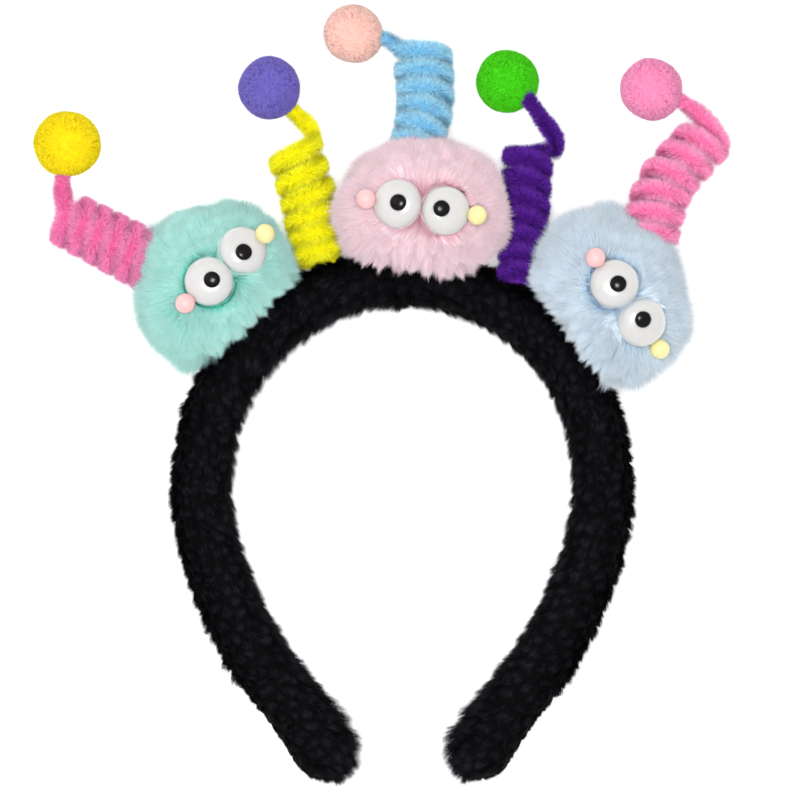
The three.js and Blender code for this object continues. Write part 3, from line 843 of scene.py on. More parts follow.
@dataclass
class PlushBand:
    """The padded band: a rounded section with a flat back, swept round an arch and two arms."""

    arch_stations: int = 9
    crown_width: float = 20.2
    crown_depth: float = 24.0
    end_width: float = 23.6
    end_depth: float = 21.0
    squareness: float = 2.5
    back_flat_degrees: float = 38.0
    end_rounding: float = 11.0
    end_rings: int = 7
    end_depth_kept: float = 0.55
    stations: int = 120
    sides: int = 30
    knot_steps: int = 40
    tangent_step: float = 0.5
    least_width: float = 0.2
    pile_depth: float = 1.9
    covered_share: float = 0.8
    parting: float = 15.0
    lean_to_end: float = 1.1
    lean_over: float = 0.45
    lean_inside: float = 0.4
    tuft_start: float = -134.0
    tuft_rise: float = 10.0
    tuft_growth: float = 0.9
    outer_trim: float = 0.7
    full_arch: tuple[float, float] = (-34.0, 18.0)
    arch_growth: float = 0.55
    arm_line: tuple[tuple[float, float], ...] = (
        (64.7, -87.2), (57.8, -107.2), (47.3, -127.2), (36.4, -142.0), (27.8, -155.0), (20.8, -167.6),
    )
    pile: Pile = Pile(count=130000, length=4.4, width=0.42, uneven=0.35, untidy=0.45, seed=3,
                      clump_size=4.2, clumping=0.75, sway=1.2, sway_size=8.0, smoothness=0.35)

    def middle_line(self) -> np.ndarray:
        """Draws a smooth line along the band's middle, from the left end to the right.

        Returns:
            Closely spaced places in the front view.
        """
        angles = np.linspace(math.pi, 0, self.arch_stations)
        arch = ARCH_RADIUS * np.stack([np.cos(angles), np.sin(angles) - 1], axis=1)
        right = np.array(self.arm_line)
        left = right[::-1] * (-1, 1)
        knots = np.concatenate([left, arch, right])
        spacing = np.linalg.norm(np.diff(knots, axis=0), axis=1) ** 0.5
        times = np.concatenate([[0], np.cumsum(spacing)])
        slopes = np.gradient(knots, times, axis=0)
        line = []
        for knot in range(len(knots) - 1):
            step = times[knot + 1] - times[knot]
            at_end = knot == len(knots) - 2
            share = np.linspace(0, 1, self.knot_steps, endpoint=at_end)[:, None]
            line.append(
                (2 * share**3 - 3 * share**2 + 1) * knots[knot]
                + (share**3 - 2 * share**2 + share) * step * slopes[knot]
                + (3 * share**2 - 2 * share**3) * knots[knot + 1]
                + (share**3 - share**2) * step * slopes[knot + 1])
        return np.concatenate(line)

    def section(self, width: float, depth: float) -> np.ndarray:
        """Draws one section, wound from the back's right side up.

        Args:
            width: The section's width.
            depth: Its height above the back.

        Returns:
            Sideways places and heights.
        """
        power = 2 / self.squareness
        flat = math.radians(self.back_flat_degrees)
        flat_share = 0.5 - 0.5 * math.cos(flat) ** power
        angles = flat - math.pi / 2 + np.linspace(0, 2 * (math.pi - flat), self.sides)
        rise = 0.5 + 0.5 * np.sign(np.sin(angles)) * np.abs(np.sin(angles)) ** power
        height = np.maximum(0, (rise - flat_share) / (1 - flat_share)) * depth
        sideways = 0.5 * width * np.sign(np.cos(angles)) * np.abs(np.cos(angles)) ** power
        return np.stack([sideways, height], axis=1)

    def skin(self) -> tuple[bpy.types.Object, np.ndarray]:
        """Sweeps the section, a pile's depth inside the band's surface.

        Returns:
            The skin, and for each of its points the way along the band.
        """
        line = self.middle_line()
        steps = np.concatenate([[0], np.cumsum(np.linalg.norm(np.diff(line, axis=0), axis=1))])
        length = steps[-1]
        inset = self.pile_depth
        turn = 0.5 * math.pi * np.arange(1, self.end_rings + 1) / self.end_rings
        end_along = inset + self.end_rounding * (1 - np.cos(turn))
        plain = np.linspace(end_along[-1], length - end_along[-1], self.stations + 1)[1:-1]
        places = np.concatenate([end_along, plain, (length - end_along)[::-1]])
        fullness = np.concatenate([np.sin(turn), np.ones(len(plain)), np.sin(turn)[::-1]])

        rings = []
        tangents = []
        for place, full in zip(places, fullness):
            middle = [np.interp(place, steps, line[:, axis]) for axis in (0, 1)]
            ahead = [np.interp(place + self.tangent_step, steps, line[:, axis]) for axis in (0, 1)]
            behind = [np.interp(place - self.tangent_step, steps, line[:, axis]) for axis in (0, 1)]
            tangent = unit(np.subtract(ahead, behind))
            across = np.array((tangent[1], -tangent[0]))
            from_crown = abs(2 * place / length - 1)
            width = (self.crown_width + (self.end_width - self.crown_width) * from_crown) * full
            depth = self.crown_depth + (self.end_depth - self.crown_depth) * from_crown
            depth *= self.end_depth_kept + (1 - self.end_depth_kept) * full
            ring = self.section(max(width - 2 * inset, self.least_width), depth - 2 * inset)
            rings.append(np.column_stack([middle + ring[:, :1] * across, ring[:, 1] + inset]))
            tangents.append(np.tile((*tangent, 0.0), (self.sides, 1)))
        caps = [rings[0].mean(axis=0), rings[-1].mean(axis=0)]
        points = metres(np.concatenate([*rings, caps]))
        ways = np.concatenate([*tangents, tangents[0][:1], tangents[-1][:1]])
        faces = capped_faces(len(rings), self.sides, reverse=True)
        return new_object("headband_look", mesh_from("headband_look", points, faces)), ways

    def comb(self, points: np.ndarray, ways: np.ndarray, normals: np.ndarray) -> np.ndarray:
        """Combs the pile from the crown to the ends, over the outer edge and off the inner one.

        Args:
            points: The skin's points.
            ways: For each point, the way along the band.
            normals: The points' normals.

        Returns:
            Each point's lean.
        """
        to_end = np.tanh((points[:, :1] / MM - CROWN[0]) / self.parting)
        round_section = np.cross(ways, normals)
        inwards = np.cross(ways, (0.0, 0.0, 1.0))
        facing_in = np.sum(inwards * normals, axis=1, keepdims=True)
        lean = self.lean_to_end * to_end * ways
        lean = lean + round_section * (self.lean_over - self.lean_inside * facing_in)
        return lean - normals * np.sum(lean * normals, axis=1, keepdims=True)

    def fullness(self, points: np.ndarray, ways: np.ndarray, normals: np.ndarray) -> np.ndarray:
        """Gives each point's share of the pile's length: tufts inside the ends, and a fuller left arch.

        Args:
            points: The skin's points.
            ways: For each point, the way along the band.
            normals: The points' normals.

        Returns:
            A share for each point.
        """
        facing_in = np.sum(np.cross(ways, (0.0, 0.0, 1.0)) * normals, axis=1)
        place = points / MM - CROWN
        by_end = np.clip((self.tuft_start - place[:, 1]) / self.tuft_rise, 0, 1)
        on_left = np.exp(-(((place[:, 0] - self.full_arch[0]) / self.full_arch[1]) ** 2))
        on_arch = on_left * (place[:, 1] > -ARCH_RADIUS)
        inner = np.maximum(facing_in, 0)
        outer = np.maximum(-facing_in, 0)
        tufts = by_end * (self.tuft_growth * inner - self.outer_trim * outer)
        return 1 + tufts + self.arch_growth * on_arch * inner

    def build(self, trees: PileTree, creatures: list["FurCreature"], coils: list[str]) -> bpy.types.Object:
        """Makes the band with its brushed pile.

        Args:
            trees: What grows strands.
            creatures: The pompoms that sit on the band, under which no pile grows.
            coils: The nodes of the stems that come out of it.

        Returns:
            The finished band.
        """
        skin, ways = self.skin()
        points, normals = arrays_of(skin.data)
        note_pile(skin, self.comb(points, ways, normals), self.fullness(points, ways, normals))
        strands = trees.grow(skin, self.pile, Finish.plush_black)
        roots = strands.places(0.0)
        covered = np.zeros(len(roots), bool)
        for creature in creatures:
            covered |= creature.covers(roots, self.covered_share)
        strands.keep(~covered)
        strands.keep(~inside(coils, strands.places(1.0), 0.0))
        strands.points[..., 2] = np.maximum(strands.points[..., 2], FLOOR_CLEARANCE * MM)
        furred(skin, strands, self.pile)
        band = finished(skin, Finish.plush_black)
        return band


# Fur creatures


@dataclass(frozen=True)
class Beads:
    """The sizes of a bead face, the same on every pompom."""

    eye_radius: float = 8.2
    eye_height: float = 6.3
    eye_fullness: float = 3.0
    eye_skirt: float = 1.4
    eye_lean: float = 0.75
    eye_rows: int = 20
    eye_segments: int = 56
    foot_edge: float = 0.5
    foot_corner: float = 0.15
    crease_degrees: float = 35.0
    seat_share: float = 0.8
    seat_step: float = 0.05
    pupil_radius: float = 2.7
    pupil_height: float = 1.0
    pupil_sunk: float = 0.9
    pupil_rows: int = 10
    recess_side: float = 0.12
    recess_back: float = 0.1
    recess_reach: float = 1.0
    recess_segments: int = 40
    cheek_radius: float = 3.3
    cheek_rows: int = 18
    small_segments: int = 36
    gap: float = 0.3


# The finishes of the small beads at the two ends of a row, by colour.
CHEEKS = {"pink": Finish.bead_pink, "yellow": Finish.bead_yellow}


@dataclass
class FurCreature:
    """A ball of long fur with a row of beads: a pink one, two eyes and a yellow one."""

    name: str
    finish: Finish
    middle: tuple[float, float]
    half_width: float
    half_height: float
    row: tuple[float, float]
    turn: float
    spread: float
    gaze_a: tuple[float, float]
    gaze_b: tuple[float, float]
    band_reach: float
    extra_reach: tuple[float, ...]
    seed: int
    half_depth: float = 26.0
    middle_height: float = 27.0
    press_start: float = 0.2
    fur_share: float = 0.96
    scalp_share: float = 0.6
    scalp_subdivisions: int = 4
    seat_height: float = 3.0
    seat_width: float = 9.0
    seat_straight: float = 0.5
    lean_least: float = 0.2
    lean_by_beads: float = 1.1
    lean_peak: float = 8.0
    lean_spread: float = 14.0
    lean_in_front: float = 0.4
    short_by_beads: float = 0.2
    short_peak: float = 6.0
    short_spread: float = 9.0
    tuft_spread: float = 1.3
    under_share: float = 0.45
    under_depth: float = 12.0
    press_depth: float = 4.0
    press_bulge: float = 0.1
    band_bite: float = 0.8
    beads: Beads = Beads()
    ragged: float = 0.5
    ragged_size: float = 5.0
    ragged_side: tuple[float, float] = (2.0, 0.6)
    lock_side: tuple[float, float] = (3.0, 1.2)
    lock_count: int = 120
    lock_size: float = 4.4
    lock_reach: float = 2.4
    lock_pull: float = 0.8
    pile: Pile = Pile(count=118000, length=10.0, width=0.34, uneven=0.16, untidy=0.3, seed=11,
                      clump_size=2.6, clumping=0.55, sway=0.95, sway_size=11.0, smoothness=0.35)

    def half_sizes(self) -> np.ndarray:
        """Gives the fur's half width, half height and half depth."""
        return np.array((self.half_width, self.half_height, self.half_depth))

    def centre(self) -> np.ndarray:
        """Gives the fur's middle in the part's frame, in metres."""
        return metres((*self.middle, self.middle_height))

    def towards_band(self) -> np.ndarray:
        """Gives the way from the fur's middle to the band's middle."""
        return unit(np.array((-self.middle[0], -ARCH_RADIUS - self.middle[1], 0.0)))

    def on_band_side(self, points: np.ndarray, slope: float, start: float) -> np.ndarray:
        """Tells how much each point lies on the band's side of the fur.

        Args:
            points: Places in metres.
            slope: How fast the share grows as a point's way turns to the band.
            start: What is taken off it.

        Returns:
            A share for each point, from none to one.
        """
        facing = unit(points - self.centre()) @ self.towards_band()
        return np.clip(slope * facing - start, 0, 1)

    def form(self, ways: np.ndarray) -> np.ndarray:
        """Gives points of the fur's outer form: an ellipsoid pressed against the band.

        Args:
            ways: Unit vectors from the fur's middle.

        Returns:
            Places about the fur's middle, in millimetres.
        """
        points = ways * self.half_sizes()
        start = self.press_start * self.band_reach
        room = self.band_reach - start
        beyond = np.maximum(0, points @ self.towards_band() - start)
        squeezed = room * np.tanh(beyond / room) - beyond
        return points + squeezed[:, None] * self.towards_band()

    def covers(self, points: np.ndarray, share: float) -> np.ndarray:
        """Marks the points inside a share of the fur's form.

        Args:
            points: Places in metres.
            share: The share of the form's size.

        Returns:
            A mask over the points.
        """
        local = (points - self.centre()) / (MM * share)
        start = self.press_start * self.band_reach
        room = self.band_reach - start
        beyond = local @ self.towards_band() - start
        loosened = room * np.arctanh(np.clip(beyond / room, 0, 0.999))
        stretched = np.where(beyond > 0, loosened - beyond, 0)
        whole = local + stretched[:, None] * self.towards_band()
        return np.sum((whole / self.half_sizes()) ** 2, axis=1) < 1

    def eye_frame(self, along: float) -> Matrix:
        """Places an eye in the fur, leaning with its surface.

        Args:
            along: How far the eye is along the row of beads.

        Returns:
            The eye's frame in metres, with its +Z pointing out.
        """
        turn = math.radians(self.turn)
        x = self.row[0] + along * math.cos(turn)
        y = self.row[1] + along * math.sin(turn)
        slope = 1 - (x / self.half_width) ** 2 - (y / self.half_height) ** 2
        z = self.beads.seat_share * self.half_depth * math.sqrt(max(0, slope))
        lean = self.beads.eye_lean
        slope_x = lean * x / self.half_width**2
        slope_y = lean * y / self.half_height**2
        outwards = Vector((slope_x, slope_y, z / self.half_depth**2))
        turned_out = Vector((0, 0, 1)).rotation_difference(outwards.normalized()).to_matrix().to_4x4()
        return Matrix.Translation(Vector(self.centre()) + Vector((x, y, z)) * MM) @ turned_out

    def pupil_frame(self, eye: Matrix, gaze: tuple[float, float]) -> Matrix:
        """Places a pupil where the line of sight through its offset meets an eye's dome.

        Args:
            eye: The eye's frame.
            gaze: The pupil's offset from the eye in the front view.

        Returns:
            The pupil's frame in metres.
        """
        beads = self.beads
        full = beads.eye_fullness
        to_eye = eye.inverted()
        drop = 2 * beads.eye_radius
        beyond = True
        while beyond:
            drop -= beads.seat_step
            local = to_eye @ (eye.translation + Vector((*gaze, drop)) * MM) / MM
            outward = math.hypot(local.x, local.y)
            beyond = (outward / beads.eye_radius) ** full + (local.z / beads.eye_height) ** full > 1
        steepness = outward ** (full - 2) / beads.eye_radius**full
        rise = local.z ** (full - 1) / beads.eye_height**full
        outwards = Vector((local.x * steepness, local.y * steepness, rise)).normalized()
        turned_out = Vector((0, 0, 1)).rotation_difference(outwards).to_matrix().to_4x4()
        return eye @ Matrix.Translation(local * MM) @ turned_out

    def dome(self, name: str, growth: float) -> bpy.types.Mesh:
        """Turns an eye's dome with a rounded foot.

        Args:
            name: The mesh's name.
            growth: How much larger than the eye it is, for a shape that keeps clear of one.

        Returns:
            The dome about the origin, with its +Z pointing out.
        """
        radius = self.beads.eye_radius + growth
        height = self.beads.eye_height + growth
        skirt = self.beads.eye_skirt + growth
        edge = self.beads.foot_edge
        corner = self.beads.foot_corner
        profile = [(0.0, -skirt), (radius - edge, -skirt)]
        profile += [(radius - corner, -skirt + corner), (radius, -skirt + edge)]
        rows = self.beads.eye_rows
        power = 2 / self.beads.eye_fullness
        for step in range(rows + 1):
            angle = 0.5 * math.pi * step / rows
            out = radius * math.cos(angle) ** power if step < rows else 0.0
            profile.append((out, height * math.sin(angle) ** power))
        return turned(name, profile, self.beads.eye_segments)

    def build_eye(self, key: str, eye: Matrix, pupil: Matrix, neighbour: Matrix | None) -> bpy.types.Object:
        """Makes an eye with its pupil's recess, cut back from the eye beside it.

        Args:
            key: The eye's letter.
            eye: Its frame.
            pupil: Its pupil's frame.
            neighbour: The frame of the eye that it leans on, if it does.

        Returns:
            The finished eye.
        """
        name = f"{self.name}_eye_{key}_look"
        mesh = self.dome(name, 0.0)
        mesh.transform(eye)
        piece = new_object(name, mesh)
        reach = self.beads.pupil_height + self.beads.recess_reach
        wide = self.beads.pupil_radius + self.beads.recess_side
        sunk = -self.beads.pupil_sunk - self.beads.recess_back
        outline = [(0, sunk), (wide, sunk), (wide, reach), (0, reach)]
        recess = turned("recess", outline, self.beads.recess_segments)
        recess.transform(pupil)
        cutters = [new_object("recess", recess)]
        if neighbour is not None:
            other = self.dome("clearance", self.beads.gap)
            other.transform(neighbour)
            cutters.append(new_object("clearance", other))
        for cutter in cutters:
            cut = piece.modifiers.new("Cut", "BOOLEAN")
            cut.operation = "DIFFERENCE"
            cut.solver = "EXACT"
            cut.object = cutter
        evaluated(piece)
        for cutter in cutters:
            bpy.data.objects.remove(cutter)
        piece.data.shade_smooth()
        piece.data.set_sharp_from_angle(angle=math.radians(self.beads.crease_degrees))
        return finished(piece, Finish.eye_white)

    def build_pupil(self, key: str, pupil: Matrix) -> bpy.types.Object:
        """Makes a pupil: a low dome on a straight foot.

        Args:
            key: Its eye's letter.
            pupil: Its frame.

        Returns:
            The finished pupil.
        """
        beads = self.beads
        profile = [(0.0, -beads.pupil_sunk), (beads.pupil_radius, -beads.pupil_sunk)]
        for step in range(beads.pupil_rows + 1):
            angle = 0.5 * math.pi * step / beads.pupil_rows
            out = beads.pupil_radius * math.cos(angle) if step < beads.pupil_rows else 0.0
            profile.append((out, beads.pupil_height * math.sin(angle)))
        name = f"{self.name}_pupil_{key}_look"
        mesh = turned(name, profile, beads.small_segments)
        mesh.transform(pupil)
        return finished(new_object(name, mesh), Finish.pupil_black)

    def build_cheek(self, colour: str) -> bpy.types.Object:
        """Makes a small bead, where its node is.

        Args:
            colour: The bead's colour.

        Returns:
            The finished bead.
        """
        name = f"{self.name}_cheek_{colour}_look"
        rows = self.beads.cheek_rows
        profile = []
        for step in range(rows + 1):
            angle = math.pi * (step / rows - 0.5)
            out = self.beads.cheek_radius * math.cos(angle) if 0 < step < rows else 0.0
            profile.append((out, self.beads.cheek_radius * math.sin(angle)))
        mesh = turned(name, profile, self.beads.small_segments)
        mesh.transform(Matrix.Translation(self.cheek_middle(colour)))
        return finished(new_object(name, mesh), CHEEKS[colour])

    def scalp(self) -> bpy.types.Object:
        """Makes the fur's skin: its outer form at a smaller share, raised under the row of beads.

        Returns:
            The bare skin.
        """
        ball = bmesh.new()
        bmesh.ops.create_icosphere(ball, subdivisions=self.scalp_subdivisions, radius=1.0)
        mesh = bpy.data.meshes.new(f"{self.name}_pompom_look")
        ball.to_mesh(mesh)
        ball.free()
        ways = arrays_of(mesh)[0]
        points = self.centre() + self.form(ways) * self.scalp_share * MM
        apart = np.linalg.norm(self.from_beads(points)[:, :2], axis=1) / MM
        seat = self.seat_height * np.exp(-((apart / self.seat_width) ** 2)) * np.maximum(ways[:, 2], 0)
        points += seat[:, None] * ways * MM
        mesh.vertices.foreach_set("co", points.astype(np.float32).ravel())
        mesh.shade_smooth()
        mesh.update()
        return new_object(f"{self.name}_pompom_look", mesh)

    def comb(self, points: np.ndarray, normals: np.ndarray) -> tuple[np.ndarray, np.ndarray]:
        """Combs the fur out from its middle, away from the row of beads and up to the small ones.

        Args:
            points: The scalp's points.
            normals: Their normals.

        Returns:
            Each point's lean, and its share of the fur's full length.
        """
        from_middle = points - self.centre()
        depth = np.linalg.norm(from_middle, axis=1)
        away = self.from_beads(points)
        apart = np.linalg.norm(away, axis=1) / MM
        aside = np.linalg.norm(away[:, :2], axis=1) / MM
        away -= normals * np.sum(away * normals, axis=1, keepdims=True)
        by_beads = np.exp(-((apart - self.lean_peak) / self.lean_spread) ** 2)
        in_front = np.maximum(normals[:, 2], 0)
        lean = self.lean_least + self.lean_by_beads * by_beads + self.lean_in_front * in_front
        lean *= 1 - self.seat_straight * np.exp(-((aside / self.seat_width) ** 2))
        trim = self.short_by_beads * np.exp(-((apart - self.short_peak) / self.short_spread) ** 2)
        by_band = self.on_band_side(points, *self.ragged_side)
        locks = np.array([noise.noise(Vector(point) / (self.ragged_size * MM)) for point in points])
        length = depth * (self.fur_share / self.scalp_share - 1) * (1.0 - trim)
        length *= 1 + self.ragged * by_band * locks
        angle = np.degrees(np.arctan2(from_middle[:, 1], from_middle[:, 0]))
        steps = np.linspace(0, 360, len(self.extra_reach), endpoint=False)
        in_view = 1 - (from_middle[:, 2] / depth) ** 2
        length += np.interp(angle, steps, self.extra_reach, period=360) * in_view * MM
        for colour in CHEEKS:
            to_bead = np.array(self.cheek_middle(colour)) - points
            aside = np.linalg.norm(to_bead[:, :2], axis=1) / MM
            near = np.exp(-((aside / (self.beads.cheek_radius * self.tuft_spread)) ** 2)) * in_front
            lean *= 1 - near
            length += (np.linalg.norm(to_bead, axis=1) - length) * near
        comb = unit(from_middle) - normals + unit(away) * lean[:, None]
        return comb, length / (self.pile.length * MM)

    def from_beads(self, points: np.ndarray) -> np.ndarray:
        """Finds the way to each point from the nearest place on the row of beads.

        Args:
            points: Places in metres.

        Returns:
            A way for each point, in metres.
        """
        ends = [np.array(self.cheek_middle(colour)) for colour in CHEEKS]
        line = ends[1] - ends[0]
        share = np.clip((points - ends[0]) @ line / (line @ line), 0, 1)
        return points - (ends[0] + share[:, None] * line)

    def cheek_middle(self, colour: str) -> Vector:
        """Gives the middle of the small bead of a colour."""
        low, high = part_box(f"{self.name}_cheek_{colour}")
        return (low + high) / 2

    def build_fur(self, trees: PileTree, eyes: list[Matrix]) -> bpy.types.Object:
        """Makes the ball of fur, pressed aside by the beads.

        Args:
            trees: What grows strands.
            eyes: The eyes' frames.

        Returns:
            The finished fur.
        """
        skin = self.scalp()
        points, normals = arrays_of(skin.data)
        note_pile(skin, *self.comb(points, normals))
        pile = replace(self.pile, seed=self.seed)
        strands = trees.grow(skin, pile, self.finish)
        self.gather_locks(strands)
        for share in (0.0, 0.5, 1.0):
            strands.keep(~inside(["headband"], strands.places(share), self.band_bite))
        for eye in eyes:
            self.press_aside(strands, eye, self.beads.eye_radius)
        for colour in CHEEKS:
            cheek = Matrix.Translation(self.cheek_middle(colour))
            self.press_aside(strands, cheek, self.beads.cheek_radius)
        strands.points[..., 2] = np.maximum(strands.points[..., 2], FLOOR_CLEARANCE * MM)
        furred(skin, strands, pile)
        return finished(skin, self.finish)

    def gather_locks(self, strands: Strands) -> None:
        """Gathers the fur on the band's side into pointed locks, each longest in its middle.

        Args:
            strands: The fur.
        """
        roots = strands.places(0.0)
        tips = strands.places(1.0)
        by_band = self.on_band_side(tips, *self.lock_side)
        chosen = np.flatnonzero(by_band)
        picker = np.random.default_rng(self.seed)
        leaders = tips[picker.choice(chosen, self.lock_count, replace=False)]
        apart = np.linalg.norm(tips[chosen, None] - leaders, axis=2)
        to_leader = leaders[np.argmin(apart, axis=1)] - tips[chosen]
        middle_share = 1 - apart.min(axis=1) / (0.5 * self.lock_size * MM)
        longer = self.lock_reach * MM * np.clip(middle_share, -1, 1)
        pull = self.lock_pull * picker.random((len(chosen), 1))
        moved = pull * to_leader + longer[:, None] * unit(tips[chosen] - roots[chosen])
        place = np.flatnonzero(strands.at_tip)[0]
        strands.points[chosen, place] += by_band[chosen, None] * moved

    def press_aside(self, strands: Strands, bead: Matrix, radius: float) -> None:
        """Presses strands out of the way of a bead, and drops those that it sits on.

        Args:
            strands: The fur.
            bead: The bead's frame, with its +Z pointing out.
            radius: The bead's radius.
        """
        axis = np.array(bead.to_3x3() @ Vector((0, 0, 1)))
        origin = np.array(bead.translation)
        roots = strands.places(0.0) - origin
        root_out = roots - (roots @ axis)[:, None] * axis
        in_front = roots @ axis > -self.under_depth * MM
        under = (np.linalg.norm(root_out, axis=1) < self.under_share * radius * MM) & in_front
        strands.keep(~under)
        local = strands.points - origin
        height = local @ axis
        outward = local - height[..., None] * axis
        distance = np.linalg.norm(outward, axis=-1)
        limit = radius * MM
        pressed = (distance < limit) & (height > -self.press_depth * MM)
        new_distance = limit + self.press_bulge * (limit - distance)
        moved = unit(outward) * new_distance[..., None] - outward
        strands.points += np.where(pressed[..., None], moved, 0)

    def build(self, trees: PileTree) -> None:
        """Makes the creature's beads and then its fur.

        Args:
            trees: What grows strands.
        """
        half = 0.5 * self.spread
        eyes = [self.eye_frame(-half), self.eye_frame(half)]
        neighbour = None
        for key, eye, gaze in zip("ab", eyes, (self.gaze_a, self.gaze_b)):
            pupil = self.pupil_frame(eye, gaze)
            self.build_eye(key, eye, pupil, neighbour)
            self.build_pupil(key, pupil)
            neighbour = eye
        for colour in CHEEKS:
            self.build_cheek(colour)
        self.build_fur(trees, eyes)


# Antennae


@dataclass
class Antenna:
    """A coiled chenille stem with a trimmed pompom on its end."""

    coil: str
    coil_finish: Finish
    tip: str
    tip_finish: Finish
    seed: int
    axis: tuple[tuple[float, float, float], ...]
    merge_distance: float = 0.01
    coil_reach: float = 10.5
    coil_fade: float = 3.0
    core_growth: float = -0.8
    fan: float = 0.75
    fan_growth: float = 0.9
    tip_inset: float = 0.5
    tip_subdivisions: int = 4
    lump_size: float = 7.0
    lump_height: float = 0.5
    bristle: Pile = Pile(count=52000, length=1.9, width=0.3, uneven=0.15, untidy=0.45, seed=5,
                         clump_size=1.4, clumping=0.35, smoothness=0.35)
    trimmed: Pile = Pile(count=24000, length=1.5, width=0.42, uneven=0.12, untidy=0.6, seed=7,
                         clump_size=1.5, clumping=0.2, smoothness=0.55)

    def build_coil(self, trees: PileTree) -> bpy.types.Object:
        """Makes the stem: a core along the node's own coil, and bristles that stand round it.

        Args:
            trees: What grows strands.

        Returns:
            The finished stem.
        """
        solid = bmesh.new()
        solid.from_mesh(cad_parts[self.coil].data)
        bmesh.ops.remove_doubles(solid, verts=solid.verts, dist=self.merge_distance * MM)
        mesh = bpy.data.meshes.new(f"{self.coil}_look")
        solid.to_mesh(mesh)
        solid.free()
        mesh.materials.clear()
        core = new_object(f"{self.coil}_look", mesh)
        rounding = core.modifiers.new("Round", "SUBSURF")
        rounding.levels = 1
        rounding.render_levels = 1
        evaluated(core)
        points, normals = arrays_of(core.data)
        grown = points + self.core_growth * MM * normals
        core.data.vertices.foreach_set("co", grown.astype(np.float32).ravel())
        core.data.shade_smooth()
        core.data.update()
        note_pile(core, *self.comb(grown, normals))
        return self.bristled(trees, core, self.bristle, self.coil_finish)

    def comb(self, points: np.ndarray, normals: np.ndarray) -> tuple[np.ndarray, np.ndarray]:
        """Fans the bristles out where the coil's turns press them together.

        Args:
            points: The core's points.
            normals: Their normals.

        Returns:
            Each point's lean, and its share of the bristles' full length.
        """
        line = metres(self.axis)
        nearest = np.full(len(points), np.inf)
        outwards = np.zeros_like(points)
        along = np.zeros_like(points)
        for start, end in zip(line[:-1], line[1:]):
            way = end - start
            share = np.clip((points - start) @ way / (way @ way), 0, 1)
            away = points - (start + share[:, None] * way)
            apart = np.linalg.norm(away, axis=1)
            nearer = apart < nearest
            nearest[nearer] = apart[nearer]
            outwards[nearer] = unit(away)[nearer]
            along[nearer] = unit(way)
        in_coil = np.clip(1 + (self.coil_reach - nearest / MM) / self.coil_fade, 0, 1)
        between = np.abs(np.sum(normals * along, axis=1)) * in_coil
        return self.fan * between[:, None] * outwards, 1 + self.fan_growth * between

    def build_tip(self, trees: PileTree) -> bpy.types.Object:
        """Makes the pompom: a lumpy ball within the node's own, and trimmed yarn ends all over it.

        Args:
            trees: What grows strands.

        Returns:
            The finished pompom.
        """
        low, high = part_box(self.tip)
        middle = (low + high) / 2
        radius = max(high - low) / 2 - self.tip_inset * MM
        ball = bmesh.new()
        bmesh.ops.create_icosphere(ball, subdivisions=self.tip_subdivisions, radius=radius)
        for point in ball.verts:
            lump = noise.noise((middle + point.co) / (self.lump_size * MM))
            point.co *= 1 + self.lump_height * MM * lump / radius
        ball.transform(Matrix.Translation(middle))
        mesh = bpy.data.meshes.new(f"{self.tip}_look")
        ball.to_mesh(mesh)
        ball.free()
        mesh.shade_smooth()
        core = new_object(f"{self.tip}_look", mesh)
        count = len(mesh.vertices)
        note_pile(core, np.zeros((count, 3)), np.ones(count))
        return self.bristled(trees, core, self.trimmed, self.tip_finish)

    def bristled(self, trees: PileTree, core: bpy.types.Object, pile: Pile,
                 finish: Finish) -> bpy.types.Object:
        """Grows bristles on a core.

        Args:
            trees: What grows strands.
            core: The bare core, with notes for its pile.
            pile: How the bristles grow.
            finish: Their finish.

        Returns:
            The finished piece.
        """
        seeded = replace(pile, seed=self.seed + pile.seed)
        strands = trees.grow(core, seeded, finish)
        strands.outwards += unit(strands.places(1.0) - strands.places(0.0))
        strands.points[..., 2] = np.maximum(strands.points[..., 2], FLOOR_CLEARANCE * MM)
        furred(core, strands, seeded)
        return finished(core, finish)


# Studio


